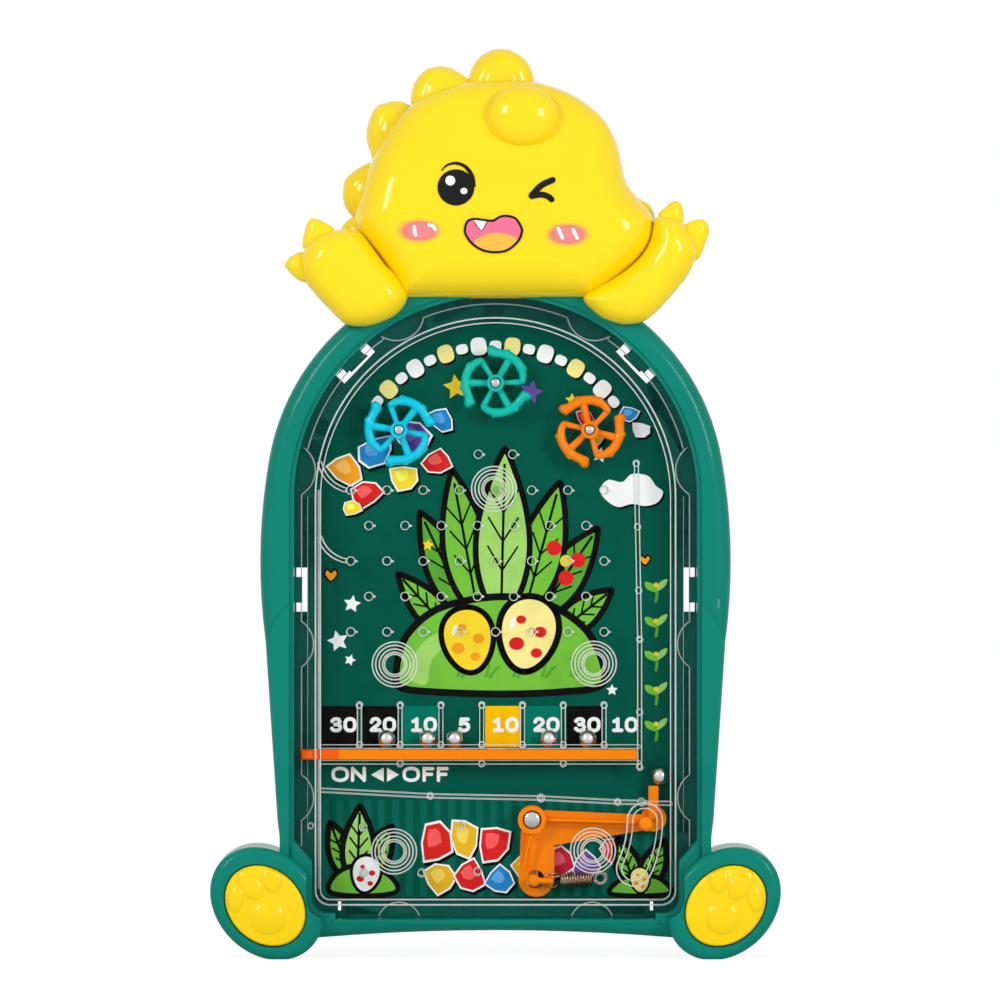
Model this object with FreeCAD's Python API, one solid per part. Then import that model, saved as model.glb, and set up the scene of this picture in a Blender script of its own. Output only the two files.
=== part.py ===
import FreeCAD, Part
import math
import os

# A hand-held pinball toy that stands upright on its two round feet.
# Each piece is drawn lying on its back: X to the right, Y the height above the ground and Z the
# depth, from the back plane towards the player. stand_up() turns a piece upright at the end, so
# that X stays to the right, Z is up and the player looks along +Y.

Vector = FreeCAD.Vector

# Arches and outline of the tray
arch_centre_height = 149.4
tray_arch_radius = 74.7
tray_arch_end_angle = 10.0
tray_waist_half_width = 76.5
tray_waist_height = 132.0
tray_leg_half_width = 74.8
tray_leg_height = 103.0
tray_hip_half_width = 70.9
tray_hip_height = 44.7
tray_bottom_half_width = 66.0
tray_bottom_corner_height = 5.7
tray_bottom_middle_height = 8.8
tray_depth = 22.0
tray_wall = 2.0
rim_outer_round = 5.0

# Pocket of the tray, in which the clear cover lies
pocket_half_width = 65.5
pocket_shoulder_height = 38.0
pocket_knee_height = 31.5
pocket_foot_half_width = 59.7
pocket_foot_height = 14.5
pocket_foot_round = 5.0
pocket_sill_half_width = 52.0
pocket_sill_height = 12.5
pocket_wall = 1.8
lip_width = 1.5
lip_drop = 1.0
floor_back_depth = 4.0
floor_thickness = 1.6
back_rib_thickness = 1.2
back_rib_heights = (40.0, 76.0, 138.0, 174.0)
back_rib_half_space = 24.0

# Raised leg panels on the lower rim
leg_panel_top_height = 114.9
leg_panel_shoulder_drop = 13.3
leg_panel_mid_drop = 5.2
leg_panel_mid_share = 0.62
leg_panel_edge = 0.9
leg_panel_rise = 0.6
leg_panel_depth = 7.0

# Feet and their paw pads
foot_centre_x = 74.1
foot_long_radius = 20.2
foot_short_radius = 16.3
foot_tilt = 45.0
foot_depth = 28.0
foot_flat = 0.35
foot_round = 2.6
foot_wall = 2.0
pad_offset_x = 0.4
pad_drop = 0.6
pad_long_radius = 14.5
pad_short_radius = 11.8
pad_seat_depth = 3.0
pad_gap = 0.25
pad_back_gap = 0.1
pad_dome = 1.1
pad_edge_round = 0.9
toe_rise = 0.9
sole_radius = 5.6
sole_places = (1.1, -4.0)
toe_radius = 3.1
toe_length = 5.5
toe_places = ((-9.9, 1.9, 95.0), (-5.6, 4.6, 130.0), (1.9, 7.2, 85.0))

# Snap hooks that hold the cover, with the openings behind them
hook_length = 8.4
hook_reach = 2.4
hook_thickness = 2.2
hook_lift = 0.3
hook_hole_length = 14.4
hook_hole_depth = 3.6
hook_hole_inset = 0.4
side_hook_height = 119.4
arch_hook_angle = 43.8
corner_slit_width = 1.0
corner_slit_length = 3.0
corner_slit_half_space = 51.0

# Printed card on the tray floor
card_thickness = 0.4
card_gap = 0.3

# Clear cover
cavity_half_width = 57.0
cavity_bottom_height = 18.5
cavity_depth = 8.0
cover_wall = 1.6
cover_corner_round = 3.0
pane_thickness = 1.6
flange_half_width = 63.5
flange_bottom_height = 13.2
flange_side_end_height = 40.0
flange_bottom_half_width = 49.0
flange_thickness = 1.5
notch_chord = 15.0
notch_depth = 4.0
side_notch_heights = (158.4, 101.6, 51.5)
bottom_notch_x = 31.4
arch_notch_angle = 61.8
gusset_size = 2.2
end_clearance = 0.3
ring_places = ((-0.5, 152.3), (-32.8, 95.2), (32.0, 95.4), (-33.0, 34.3), (31.7, 34.6))
ring_radii = (3.1, 3.9, 4.9, 6.0, 7.2)
ring_width = 0.5
ring_height = 0.45

# Pins of the play field
pin_radius = 1.5
pin_gap = 0.1
pin_pitch_x = 11.8
pin_pitch_height = 11.55
pin_first_height = 105.7
pin_rows = 5
pin_long_row_left = 4
pin_long_row_right = 3
pin_short_row_half = 3
top_pin_x = 5.6
top_pin_height = 163.6

# Ribs and small posts of the play field
rib_thickness = 1.3
post_radius = 1.1
lane_wall_x = 47.0
lane_wall_bottom_height = 61.6
lane_wall_bend_height = 103.2
lane_wall_top_height = 160.7
lane_wall_lean = 1.1
lane_post_heights = (79.5, 119.2, 139.9)
first_bin_width = 12.6
bin_pitch = 13.3
bin_count = 8
divider_bottom_height = 68.8
divider_length = 13.0
guide_depth = 1.1
guide_gap = 0.35
guide_thickness = 1.2
guide_post_bins = (2, 4, 6)
left_rib_heights = (161.0, 136.7)
left_rib_pins = (4, 2)
left_rib_bend_share = 0.36
left_rib_sag_share = 0.36
chute_places = ((-57.7, 54.1), (-21.3, 52.2), (14.8, 51.5), (39.8, 50.2), (57.7, 49.8))
chute_thickness = 1.2
chute_post_x = 47.6
chute_post_radius = 1.3
plunger_gap_left = 0.7
plunger_gap_right = 2.2
lower_posts = ((-43.2, 42.1), (-43.0, 27.1), (-24.1, 27.1), (-5.8, 27.6), (-11.2, 42.5))
lower_post_radius = 1.3
catch_post_x = 39.8
catch_post_drop = 1.7
catch_post_radius = 1.5
catch_tail = 1.9

# Gate bar under the bins
gate_height = 64.2
gate_thickness = 3.2
gate_rail_depth = 1.1
gate_travel = 5.0
gate_notch = 6.8
gate_notch_shift = -1.65
gate_left_x = 63.5
gate_right_gap = 1.0
gate_tab_width = 4.0
gate_tab_round = 0.8
gate_clearance = 0.3
gate_tab_depth = 7.4

# Balls
ball_radius = 3.0
ball_gap = 0.3
ball_places = ((1, 0.66), (2, 0.67), (3, 0.335), (5, 0.655), (6, 0.60))

# Launcher lever
lever_pivot_x = 11.9
lever_pivot_height = 44.5
lever_post_radius = 3.0
bore_clearance = 0.1
lever_hub_radius = 4.6
lever_plate_thickness = 2.5
lever_arm_length = 39.7
lever_arm_rise = 0.2
lever_end_radius = 4.2
lever_leg_length = 19.5
lever_leg_shift = 1.4
lever_leg_end_radius = 5.8
lever_arm_shares = ((0.098, 0.073), (0.917, 0.038), (0.907, -0.093), (0.186, -0.214))
lever_leg_shares = ((0.37, -0.91), (-0.215, -1.0), (-0.185, -0.2))
lever_rib_shares = ((-0.06, -0.094), (-0.12, -0.8))
lever_rib_height = 0.8
lever_rib_thickness = 1.1
peg_distance = 37.2
peg_angle = -1.9
peg_radius = 2.2
peg_reach = 5.4
peg_tip_round = 1.5
plunger_width = 3.2
plunger_x = 51.5
plunger_top_height = 55.4
plunger_thickness = 3.4
hook_eye_radius = 3.0
hook_eye_x = 1.1
hook_eye_drop = 19.6
hook_finger_drop = 20.1
hook_finger_width = 1.5
hook_finger_left = 1.2
hook_post_left = 4.55
hook_finger_right = 7.1
hook_finger_thickness = 1.1
hook_finger_lift = 1.3

# Kidney slot in the cover, in which the peg travels
slot_radius = 36.7
slot_start_angle = 0.0
slot_end_angle = -25.4
slot_half_width = 3.9
slot_rim_width = 1.9
slot_rim_height = 1.0

# Return spring
spring_wire = 0.4
spring_coil_radius = 2.0
spring_turns = 12
spring_pitch = 0.85
spring_left_loop_radius = 2.3
spring_right_loop_radius = 2.2
spring_left_x = 6.4
spring_left_drop = 20.0
spring_post_x = 34.2
spring_post_height = 25.4
spring_post_radius = 1.7
spring_depth_above_plate = 0.55
spring_left_open_angle = -40.0
spring_left_end_angle = -270.0
spring_right_end_angle = -215.0
spring_loop_steps = 4
spring_own_points = 8

# Spinner wheels: place of each post, turn of the wheel
wheel_places = (("wheel_left", -31.5, 171.5, 95.0),
                ("wheel_top", 0.0, 186.8, 50.0),
                ("wheel_right", 30.7, 171.5, 15.0))
wheel_post_radius = 1.6
wheel_hub_radius = 2.8
wheel_vane_radius = 9.6
wheel_vane_sweep = 92.0
wheel_tube_radius = 1.3
wheel_knob_radius = 1.9
wheel_bump_radius = 1.2
wheel_bump_out = 0.95
wheel_end_radius = 1.4
wheel_low_reach = 8.6
wheel_half_depth = 1.3
wheel_edge = 0.35
wheel_bump_shares = (0.3, 0.72)
wheel_spoke_radius = 0.8
wheel_vanes = 3

# Scale of the reference picture: millimetres a pixel, and the pixels of the middle and the ground
picture_scale = 0.325
picture_middle = 495.5
picture_ground = 957.5

# Head
head_parting_depth = 17.0
head_front_depth = 36.0
head_back_depth = 2.0
head_wall = 2.0
head_depth_power = 2.6
head_side_power = 3.0
head_seat_gap = 0.3
head_outline_pixels = (
    (402, 298), (391, 276), (377.6, 256), (362, 236), (356, 218), (361, 196), (372, 162),
    (393, 126), (415.8, 103), (441, 90.6), (470, 83), (505, 80.5), (529, 81.5), (549, 86),
    (572, 95), (594, 110), (608, 126), (617, 145), (622, 166), (627, 184), (639, 200),
    (651, 215), (655, 230), (650, 247), (636, 264), (613, 283), (592, 298))
horn_pixel = (522, 114)
horn_radii = (11.2, 9.8, 15.5)
horn_depth = 20.5
crest_depth = 14.0
crest_pixels = (((501, 82.6), (33.0, 36.0), 7.5), ((440, 94), (29.0, 30.0), 7.5),
                ((395, 133), (29.3, 34.0), 7.5), ((369, 193), (27.0, 29.0), 7.0),
                ((362, 234), (22.0, 20.0), 4.5), ((641, 219), (14.5, 19.0), 4.5))

# Arms and claws
arm_parting_depth = 23.0
arm_front_depth = 34.5
arm_back_depth = 16.0
arm_wall = 2.0
arm_depth_power = 2.2
arm_side_power = 2.6
arm_head_gap = 0.3
claw_half_depth = 4.2
left_arm_pixels = (
    (341.4, 230), (360, 233), (371, 245), (385, 264), (401, 281), (408, 297),
    (398, 313.7), (378.2, 323.9), (359.8, 326.9), (344.5, 323.9), (331.2, 311.6),
    (315.9, 295.3), (302.7, 276), (303.2, 253.5), (315.9, 237.1))
right_arm_pixels = (
    (583, 299), (595, 288), (611, 280), (627, 269), (641, 255.5),
    (649, 242), (652, 230), (656, 218), (672, 218.3), (683.3, 223.9), (692.4, 237.1),
    (697, 251.4), (689.4, 272.9), (677.1, 289.2), (664.9, 303.5), (653.7, 314.7),
    (642.4, 322.3), (625.1, 324.9), (607.8, 320.8), (594.5, 312.7))
left_claw_pixels = (
    ((305, 250), (305.2, 231), (310.8, 219.8), (319, 220.3), (334.3, 229.5), (335, 246)),
    ((303.2, 252.4), (292.4, 256.5), (285.5, 264.7), (288.4, 270.8), (301.6, 282),
     (318, 280), (318, 256)))
right_claw_pixels = (
    ((657.8, 216.2), (664.9, 207.6), (672, 202.4), (678.2, 202.4), (682.5, 209), (682.8, 226),
     (676, 240), (662, 234)),
    ((684.3, 224.9), (701.6, 219.8), (708.8, 229), (705.7, 242.2), (697.6, 259.6),
     (684, 258), (676, 240)))
puff_sections = 9
puff_reach_share = 0.93

# Screws
screw_shank_radius = 1.0
screw_head_radius = 2.2
screw_head_height = 1.5
screw_gap = 0.05
boss_radius = 2.6
screw_bite = 5.0
boss_length = 6.0
head_screw_angle = 12.0
head_screw_radius = 70.2
arm_screw_angle = 31.3
arm_screw_radius = 70.2
shell_screw_pixels = ((455, 215), (560, 150))
shell_screw_seat = 4.0

overrun = 3.0
parting_gap = 0.1
plane_slack = 0.001

# Depths that follow from the sizes above
floor_front_depth = floor_back_depth + floor_thickness
card_front_depth = floor_front_depth + card_thickness
pane_back_depth = card_front_depth + cavity_depth
pane_front_depth = pane_back_depth + pane_thickness
post_back_depth = card_front_depth + end_clearance
flange_front_depth = floor_front_depth + flange_thickness
foot_height = math.sqrt((foot_long_radius ** 2 + foot_short_radius ** 2) / 2) - foot_flat
ball_depth = card_front_depth + ball_gap + ball_radius
gate_top_height = gate_height + gate_thickness
lever_back_depth = card_front_depth + end_clearance
lever_plate_front = lever_back_depth + lever_plate_thickness


def polar(radius, degrees, x=0.0, height=0.0):
    """The point at a radius and an angle from a centre."""
    turn = math.radians(degrees)
    return Vector(x + radius * math.cos(turn), height + radius * math.sin(turn), 0)


def line(a, b):
    return Part.LineSegment(a, b).toShape()


def arc(a, b, c):
    return Part.Arc(a, b, c).toShape()


def polygon(points):
    """A closed wire of straight edges."""
    return Part.makePolygon(list(points) + [points[0]])


def slab(wire, back, front):
    """The solid between two depths whose outline is the wire."""
    face = Part.Face(wire)
    face.translate(Vector(0, 0, back))
    return face.extrude(Vector(0, 0, front - back))


def disc(x, height, radius, back, front):
    return Part.makeCylinder(radius, front - back, Vector(x, height, back))


def block(left, right, bottom, top, back, front):
    return Part.makeBox(right - left, top - bottom, front - back, Vector(left, bottom, back))


def bar(a, b, thickness, back, front):
    """An upright strip of a given thickness from one point to another, with round ends."""
    along = b - a
    side = Vector(-along.y, along.x, 0).normalize() * (thickness / 2)
    strip = slab(polygon([a + side, a - side, b - side, b + side]), back, front)
    ends = [disc(p.x, p.y, thickness / 2, back, front) for p in (a, b)]
    return strip.fuse(ends)


def oval(x, height, long_radius, short_radius, tilt, back, front):
    """An elliptical cylinder, its long axis turned by tilt."""
    ellipse = Part.Ellipse(Vector(0, 0, 0), long_radius, short_radius).toShape()
    solid = slab(Part.Wire([ellipse]), back, front)
    solid.rotate(Vector(0, 0, 0), Vector(0, 0, 1), tilt)
    solid.translate(Vector(x, height, 0))
    return solid


def ellipsoid(x, height, depth, radii, tilt=0.0):
    """A ball stretched to three radii and turned about the depth axis."""
    stretch = FreeCAD.Matrix()
    stretch.scale(Vector(*radii))
    solid = Part.makeSphere(1.0).transformGeometry(stretch)
    solid.rotate(Vector(0, 0, 0), Vector(0, 0, 1), tilt)
    solid.translate(Vector(x, height, depth))
    return solid


def edges_at(solid, depth):
    """The edges that lie wholly in one plane of depth."""
    return [e for e in solid.Edges
            if abs(e.BoundBox.ZMin - depth) < plane_slack
            and abs(e.BoundBox.ZMax - depth) < plane_slack]


def mirrored(solid):
    return solid.mirror(Vector(0, 0, 0), Vector(1, 0, 0))


# Tray

def tray_wire(inset):
    """Outline of the tray, drawn in by the inset: arch, waist, legs and hollow bottom edge."""
    radius = tray_arch_radius - inset
    top = polar(radius, 90, 0, arch_centre_height)
    spring = polar(radius, tray_arch_end_angle, 0, arch_centre_height)
    waist = Vector(tray_waist_half_width - inset, tray_waist_height, 0)
    leg = Vector(tray_leg_half_width - inset, tray_leg_height, 0)
    hip = Vector(tray_hip_half_width - inset, tray_hip_height, 0)
    corner = Vector(tray_bottom_half_width - inset, tray_bottom_corner_height + inset, 0)
    middle = Vector(0, tray_bottom_middle_height + inset, 0)
    right = [spring, waist, leg, hip, corner]
    left = [Vector(-p.x, p.y, 0) for p in right]
    return Part.Wire([
        arc(left[0], top, right[0]), arc(*right[0:3]), line(right[2], right[3]),
        line(right[3], right[4]), arc(right[4], middle, left[4]),
        line(left[4], left[3]), line(left[3], left[2]), arc(left[2], left[1], left[0])])


def pocket_wire(outset):
    """Outline of the pocket: arch, straight sides, and a narrower foot round the cover's box."""
    top = polar(pocket_half_width + outset, 90, 0, arch_centre_height)
    side = Vector(pocket_half_width + outset, arch_centre_height, 0)
    right = [side,
             Vector(side.x, pocket_shoulder_height - outset, 0),
             Vector(pocket_foot_half_width + outset, pocket_knee_height - outset, 0),
             Vector(pocket_foot_half_width + outset, pocket_foot_height + pocket_foot_round, 0),
             Vector(pocket_foot_half_width - pocket_foot_round, pocket_foot_height - outset, 0),
             Vector(pocket_sill_half_width + outset, pocket_foot_height - outset, 0),
             Vector(pocket_sill_half_width + outset, pocket_sill_height - outset, 0)]
    bend = polar(pocket_foot_round + outset, -45, pocket_foot_half_width - pocket_foot_round,
                 pocket_foot_height + pocket_foot_round)
    left = [Vector(-p.x, p.y, 0) for p in right]
    edges = [arc(left[0], top, right[0])]
    for points, turn in ((right, bend), (left, Vector(-bend.x, bend.y, 0))):
        for i, (a, b) in enumerate(zip(points, points[1:])):
            edges.append(arc(a, turn, b) if i == 3 else line(a, b))
    edges.append(line(right[-1], left[-1]))
    return Part.Wire(Part.__sortEdges__(edges))


def foot_oval(side, margin, back, front):
    return oval(side * foot_centre_x, foot_height, foot_long_radius + margin,
                foot_short_radius + margin, side * foot_tilt, back, front)


def pad_oval(side, margin, back, front):
    return oval(side * (foot_centre_x + pad_offset_x), foot_height - pad_drop,
                pad_long_radius + margin, pad_short_radius + margin, side * foot_tilt, back, front)


def foot(side):
    """A round foot: an oval drum with a rounded front edge and a seat for the paw pad."""
    drum = foot_oval(side, 0, 0, foot_depth)
    drum = drum.makeFillet(foot_round, edges_at(drum, foot_depth))
    return drum.cut(pad_oval(side, pad_gap, foot_depth - pad_seat_depth, foot_depth + overrun))


def leg_panel():
    """The raised panel on the right-hand lower rim, bounded above by a curve."""
    inner = pocket_half_width + lip_width
    outer = tray_leg_half_width - leg_panel_edge
    top = Vector(inner, leg_panel_top_height, 0)
    mid = Vector(inner + leg_panel_mid_share * (outer - inner),
                 leg_panel_top_height - leg_panel_mid_drop, 0)
    shoulder = Vector(outer, leg_panel_top_height - leg_panel_shoulder_drop, 0)
    hip = Vector(tray_hip_half_width - leg_panel_edge, tray_hip_height, 0)
    low = Vector(hip.x, foot_height, 0)
    inner_low = Vector(inner, foot_height, 0)
    wire = Part.Wire([arc(top, mid, shoulder), line(shoulder, hip), line(hip, low),
                      line(low, inner_low), line(inner_low, top)])
    return slab(wire, tray_depth - leg_panel_depth, tray_depth + leg_panel_rise)


def hook(front):
    """A snap hook on the right-hand side of a pocket wall, ready to be turned to its place."""
    outer = pocket_half_width + pocket_wall / 2
    back = flange_front_depth + hook_lift
    return block(pocket_half_width - hook_reach, outer, -hook_length / 2, hook_length / 2,
                 back, back + front)


def hook_opening():
    """The opening through the floor behind a hook."""
    right = pocket_half_width - hook_hole_inset
    return block(right - hook_hole_depth, right, -hook_hole_length / 2, hook_hole_length / 2,
                 floor_back_depth - overrun, floor_front_depth + overrun)


def hook_places(make):
    """One shape at each of the four hooks: one each side and two on the arch."""
    shapes = []
    for angle, height in ((0, side_hook_height), (180, side_hook_height),
                          (arch_hook_angle, arch_centre_height),
                          (180 - arch_hook_angle, arch_centre_height)):
        shape = make()
        shape.rotate(Vector(0, 0, 0), Vector(0, 0, 1), angle)
        shape.translate(Vector(0, height, 0))
        shapes.append(shape)
    return shapes


def arch_screw_places():
    """Each screw that comes through the rim: its name's group and its place."""
    places = []
    for group, radius, angle in (("head", head_screw_radius, head_screw_angle),
                                 ("arm", arm_screw_radius, arm_screw_angle)):
        for side in (-1, 1):
            spot = polar(radius, 90 - side * angle, 0, arch_centre_height)
            places.append((group, side, spot.x, spot.y))
    return places


def back_ribs():
    """Low stiffening ribs on the back of the floor."""
    ribs = []
    for height in back_rib_heights:
        rise = max(0.0, height - arch_centre_height)
        reach = math.sqrt((pocket_half_width + pocket_wall) ** 2 - rise ** 2)
        ribs.append(block(-reach, reach, height - back_rib_thickness / 2,
                          height + back_rib_thickness / 2, floor_back_depth / 4,
                          floor_back_depth + floor_thickness / 2))
    top = back_rib_heights[-1]
    for x in (-back_rib_half_space, back_rib_half_space):
        ribs.append(block(x - back_rib_thickness / 2, x + back_rib_thickness / 2,
                          back_rib_heights[0], top, floor_back_depth / 4,
                          floor_back_depth + floor_thickness / 2))
    return ribs


def gate_window():
    """The opening in the pocket's left wall, into which the gate bar's tab slides."""
    return block(-pocket_half_width - 2 * pocket_wall, -pocket_half_width + pocket_wall,
                 gate_height - 2 * gate_clearance, gate_top_height + 2 * gate_clearance,
                 flange_front_depth, pane_front_depth + 2 * gate_clearance)


def tray():
    shell = slab(tray_wire(0), 0, tray_depth)
    shell = shell.makeFillet(rim_outer_round, edges_at(shell, tray_depth))
    panel = leg_panel()
    shell = shell.fuse([panel, mirrored(panel), foot(-1), foot(1)])
    shell = shell.cut(slab(pocket_wire(lip_width), tray_depth - lip_drop, foot_depth + overrun))
    shell = shell.cut(slab(pocket_wire(0), floor_front_depth, foot_depth + overrun))
    hollow = slab(tray_wire(tray_wall), -overrun, tray_depth - tray_wall)
    hollow = hollow.fuse([foot_oval(side, -foot_wall, -overrun,
                                    foot_depth - pad_seat_depth - foot_wall)
                          for side in (-1, 1)])
    hollow = hollow.cut(slab(pocket_wire(pocket_wall), floor_back_depth, foot_depth))
    shell = shell.cut(hollow)
    shell = shell.fuse(back_ribs())
    shell = shell.fuse(hook_places(lambda: hook(hook_thickness)))
    cuts = hook_places(hook_opening) + [gate_window()]
    for side in (-1, 1):
        x = side * corner_slit_half_space
        cuts.append(block(x - corner_slit_width / 2, x + corner_slit_width / 2,
                          pocket_foot_height, pocket_foot_height + corner_slit_length,
                          floor_back_depth - overrun, floor_front_depth + overrun))
    for _, _, x, height in arch_screw_places():
        cuts.append(disc(x, height, screw_shank_radius + screw_gap,
                         tray_depth - 2 * tray_wall, tray_depth + overrun))
    reach = foot_centre_x + foot_long_radius
    cuts.append(block(-reach, reach, -foot_flat - overrun, 0, -overrun, foot_depth + overrun))
    return shell.cut(cuts)


def playfield_card():
    """The printed card, cut to the inside of the cover's box."""
    return slab(cavity_wire(-card_gap), floor_front_depth, card_front_depth)


# Clear cover

def cavity_wire(outset):
    """Outline of the box that the balls run in: arch, straight sides, rounded lower corners."""
    half = cavity_half_width + outset
    low = cavity_bottom_height - outset
    turn = cover_corner_round + max(outset, 0)
    bend_x = half - turn
    bend_height = low + turn
    corner = polar(turn, -45, bend_x, bend_height)
    return Part.Wire([
        arc(Vector(-half, arch_centre_height, 0), Vector(0, arch_centre_height + half, 0),
            Vector(half, arch_centre_height, 0)),
        line(Vector(half, arch_centre_height, 0), Vector(half, bend_height, 0)),
        arc(Vector(half, bend_height, 0), corner, Vector(bend_x, low, 0)),
        line(Vector(bend_x, low, 0), Vector(-bend_x, low, 0)),
        arc(Vector(-bend_x, low, 0), Vector(-corner.x, corner.y, 0),
            Vector(-half, bend_height, 0)),
        line(Vector(-half, bend_height, 0), Vector(-half, arch_centre_height, 0))])


def notches():
    """Half-moon cuts in the flange's edge."""
    radius = (notch_chord ** 2 / 4 + notch_depth ** 2) / (2 * notch_depth)
    reach = flange_half_width + radius - notch_depth
    places = []
    for height in side_notch_heights:
        rise = max(0.0, height - arch_centre_height)
        x = math.sqrt(reach ** 2 - rise ** 2)
        places += [(-x, height), (x, height)]
    low = flange_bottom_height - radius + notch_depth / 2
    places += [(-bottom_notch_x, low), (bottom_notch_x, low)]
    for angle in (arch_notch_angle, 180 - arch_notch_angle):
        spot = polar(reach, angle, 0, arch_centre_height)
        places.append((spot.x, spot.y))
    return [disc(x, height, radius, floor_front_depth - overrun, flange_front_depth + overrun)
            for x, height in places]


def flange():
    """The flat flange round the box, in three stretches: arch with sides, and bottom."""
    half = flange_half_width
    inner = cavity_half_width + cover_wall / 2
    top = arch_centre_height
    outer = Part.Wire([
        arc(Vector(-half, top, 0), Vector(0, top + half, 0), Vector(half, top, 0)),
        line(Vector(half, top, 0), Vector(half, flange_side_end_height, 0)),
        line(Vector(half, flange_side_end_height, 0), Vector(-half, flange_side_end_height, 0)),
        line(Vector(-half, flange_side_end_height, 0), Vector(-half, top, 0))])
    plate = slab(outer, floor_front_depth, flange_front_depth)
    skirt = block(-flange_bottom_half_width, flange_bottom_half_width, flange_bottom_height,
                  cavity_bottom_height, floor_front_depth, flange_front_depth)
    return plate.fuse(skirt).cut(slab(cavity_wire(inner - cavity_half_width), floor_front_depth,
                                      flange_front_depth)).cut(notches())


def pin_places():
    """Staggered rows of pins: long rows and short rows by turns, and two pins above them."""
    places = []
    for row in range(pin_rows):
        height = pin_first_height + row * pin_pitch_height
        if row % 2 == 0:
            columns = range(-pin_long_row_left, pin_long_row_right + 1)
            places += [(i * pin_pitch_x, height) for i in columns]
        else:
            columns = range(-pin_short_row_half - 1, pin_short_row_half)
            places += [((i + 0.5) * pin_pitch_x, height) for i in columns]
    return places + [(-top_pin_x, top_pin_height), (top_pin_x, top_pin_height)]


def divider_x(i):
    return -cavity_half_width + first_bin_width + i * bin_pitch


def lane_parts():
    """The wall between the play field and the launch lane, with its posts."""
    bend = Vector(lane_wall_x, lane_wall_bend_height, 0)
    low = Vector(lane_wall_x, lane_wall_bottom_height, 0)
    top = Vector(lane_wall_x - lane_wall_lean, lane_wall_top_height, 0)
    parts = [bar(low, bend, rib_thickness, post_back_depth, pane_back_depth),
             bar(bend, top, rib_thickness, post_back_depth, pane_back_depth)]
    spots = [(low.x, low.y), (bend.x, bend.y), (top.x, top.y)]
    for height in lane_post_heights:
        rise = max(0.0, height - bend.y) / (top.y - bend.y)
        spots.append((lane_wall_x - rise * lane_wall_lean, height))
    return parts + [disc(x, height, post_radius, post_back_depth, pane_back_depth)
                    for x, height in spots]


def bin_parts():
    """Dividers between the score bins, with a small post at each end."""
    parts = []
    for i in range(bin_count - 1):
        low = Vector(divider_x(i), divider_bottom_height, 0)
        high = low + Vector(0, divider_length, 0)
        parts.append(bar(low, high, rib_thickness, post_back_depth, pane_back_depth))
        parts += [disc(p.x, p.y, post_radius, post_back_depth, pane_back_depth)
                  for p in (low, high)]
    return parts


def gate_guides():
    """Two shallow ribs under the pane, above and below the gate bar."""
    back = pane_back_depth - guide_depth
    parts = []
    for low in (gate_top_height + guide_gap, gate_height - guide_gap - guide_thickness):
        parts.append(block(-cavity_half_width, lane_wall_x, low, low + guide_thickness,
                           back, pane_back_depth))
    for i in guide_post_bins:
        parts.append(disc(divider_x(i - 1), gate_height - guide_gap - post_radius,
                          post_radius, back, pane_back_depth))
    return parts


def curved_bar(start, mid, end, thickness, back, front):
    """A curved upright strip whose centre line runs through three points."""
    circle = Part.Circle(start, mid, end)
    edges = []
    for points, shift in (((start, mid, end), -thickness / 2), ((end, mid, start), thickness / 2)):
        scale = 1 + shift / circle.Radius
        edges.append(Part.Arc(*[circle.Center + (p - circle.Center) * scale
                                for p in points]).toShape())
    inner, outer = edges
    wire = Part.Wire([inner, line(inner.valueAt(inner.LastParameter),
                                  outer.valueAt(outer.FirstParameter)),
                      outer, line(outer.valueAt(outer.LastParameter),
                                  inner.valueAt(inner.FirstParameter))])
    return slab(wire, back, front)


def left_ribs():
    """Two curved ribs that lead a ball from the left wall to the first pin of a row."""
    parts = []
    for height, row in zip(left_rib_heights, left_rib_pins):
        start = Vector(-cavity_half_width - cover_wall / 2, height, 0)
        end = Vector(-pin_long_row_left * pin_pitch_x, pin_first_height + row * pin_pitch_height, 0)
        mid = Vector(start.x + left_rib_bend_share * (end.x - start.x),
                     end.y + left_rib_sag_share * (start.y - end.y), 0)
        parts.append(curved_bar(start, mid, end, rib_thickness, post_back_depth, pane_back_depth))
    return parts


def chute_parts():
    """The sloping floor that leads balls to the lane, open where the plunger passes."""
    points = [Vector(x, height, 0) for x, height in chute_places]
    parts = []
    for a, b in zip(points, points[1:]):
        parts.append(bar(a, b, chute_thickness, post_back_depth, pane_back_depth))
    floor = parts[0].fuse(parts[1:])
    left = plunger_x - plunger_width / 2 - plunger_gap_left
    right = plunger_x + plunger_width / 2 + plunger_gap_right
    floor = floor.cut(block(left, right, points[-1].y - overrun, points[-2].y + overrun,
                            card_front_depth, pane_back_depth - guide_depth))
    spots = [(points[1], post_radius), (points[2], chute_post_radius), (points[3], post_radius),
             (Vector(chute_post_x, points[3].y, 0), chute_post_radius)]
    posts = [disc(p.x, p.y, radius, post_back_depth, pane_back_depth) for p, radius in spots]
    low = catch_post_x, points[3].y - catch_post_drop
    posts.append(disc(low[0], low[1], catch_post_radius, pane_back_depth - guide_depth,
                      pane_back_depth))
    posts.append(block(low[0] - catch_tail / 4, low[0] + catch_tail / 4,
                       low[1] - catch_post_radius - catch_tail / 2, low[1],
                       pane_back_depth - guide_depth, pane_back_depth))
    return [floor] + posts


def kidney(half_width, back, front):
    """The curved slot of the peg: a ring sector about the lever's pivot with round ends."""
    start = polar(slot_radius, slot_start_angle, lever_pivot_x, lever_pivot_height)
    end = polar(slot_radius, slot_end_angle, lever_pivot_x, lever_pivot_height)
    middle = (slot_start_angle + slot_end_angle) / 2
    edges = []
    for radius in (slot_radius - half_width, slot_radius + half_width):
        edges.append([polar(radius, angle, lever_pivot_x, lever_pivot_height)
                      for angle in (slot_start_angle, middle, slot_end_angle)])
    inner, outer = edges
    top = start + Vector(0, half_width, 0)
    low = polar(half_width, slot_end_angle - 90, end.x, end.y)
    wire = Part.Wire([arc(*inner), arc(inner[2], low, outer[2]), arc(*reversed(outer)),
                      arc(outer[0], top, inner[0])])
    return slab(wire, back, front)


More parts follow.
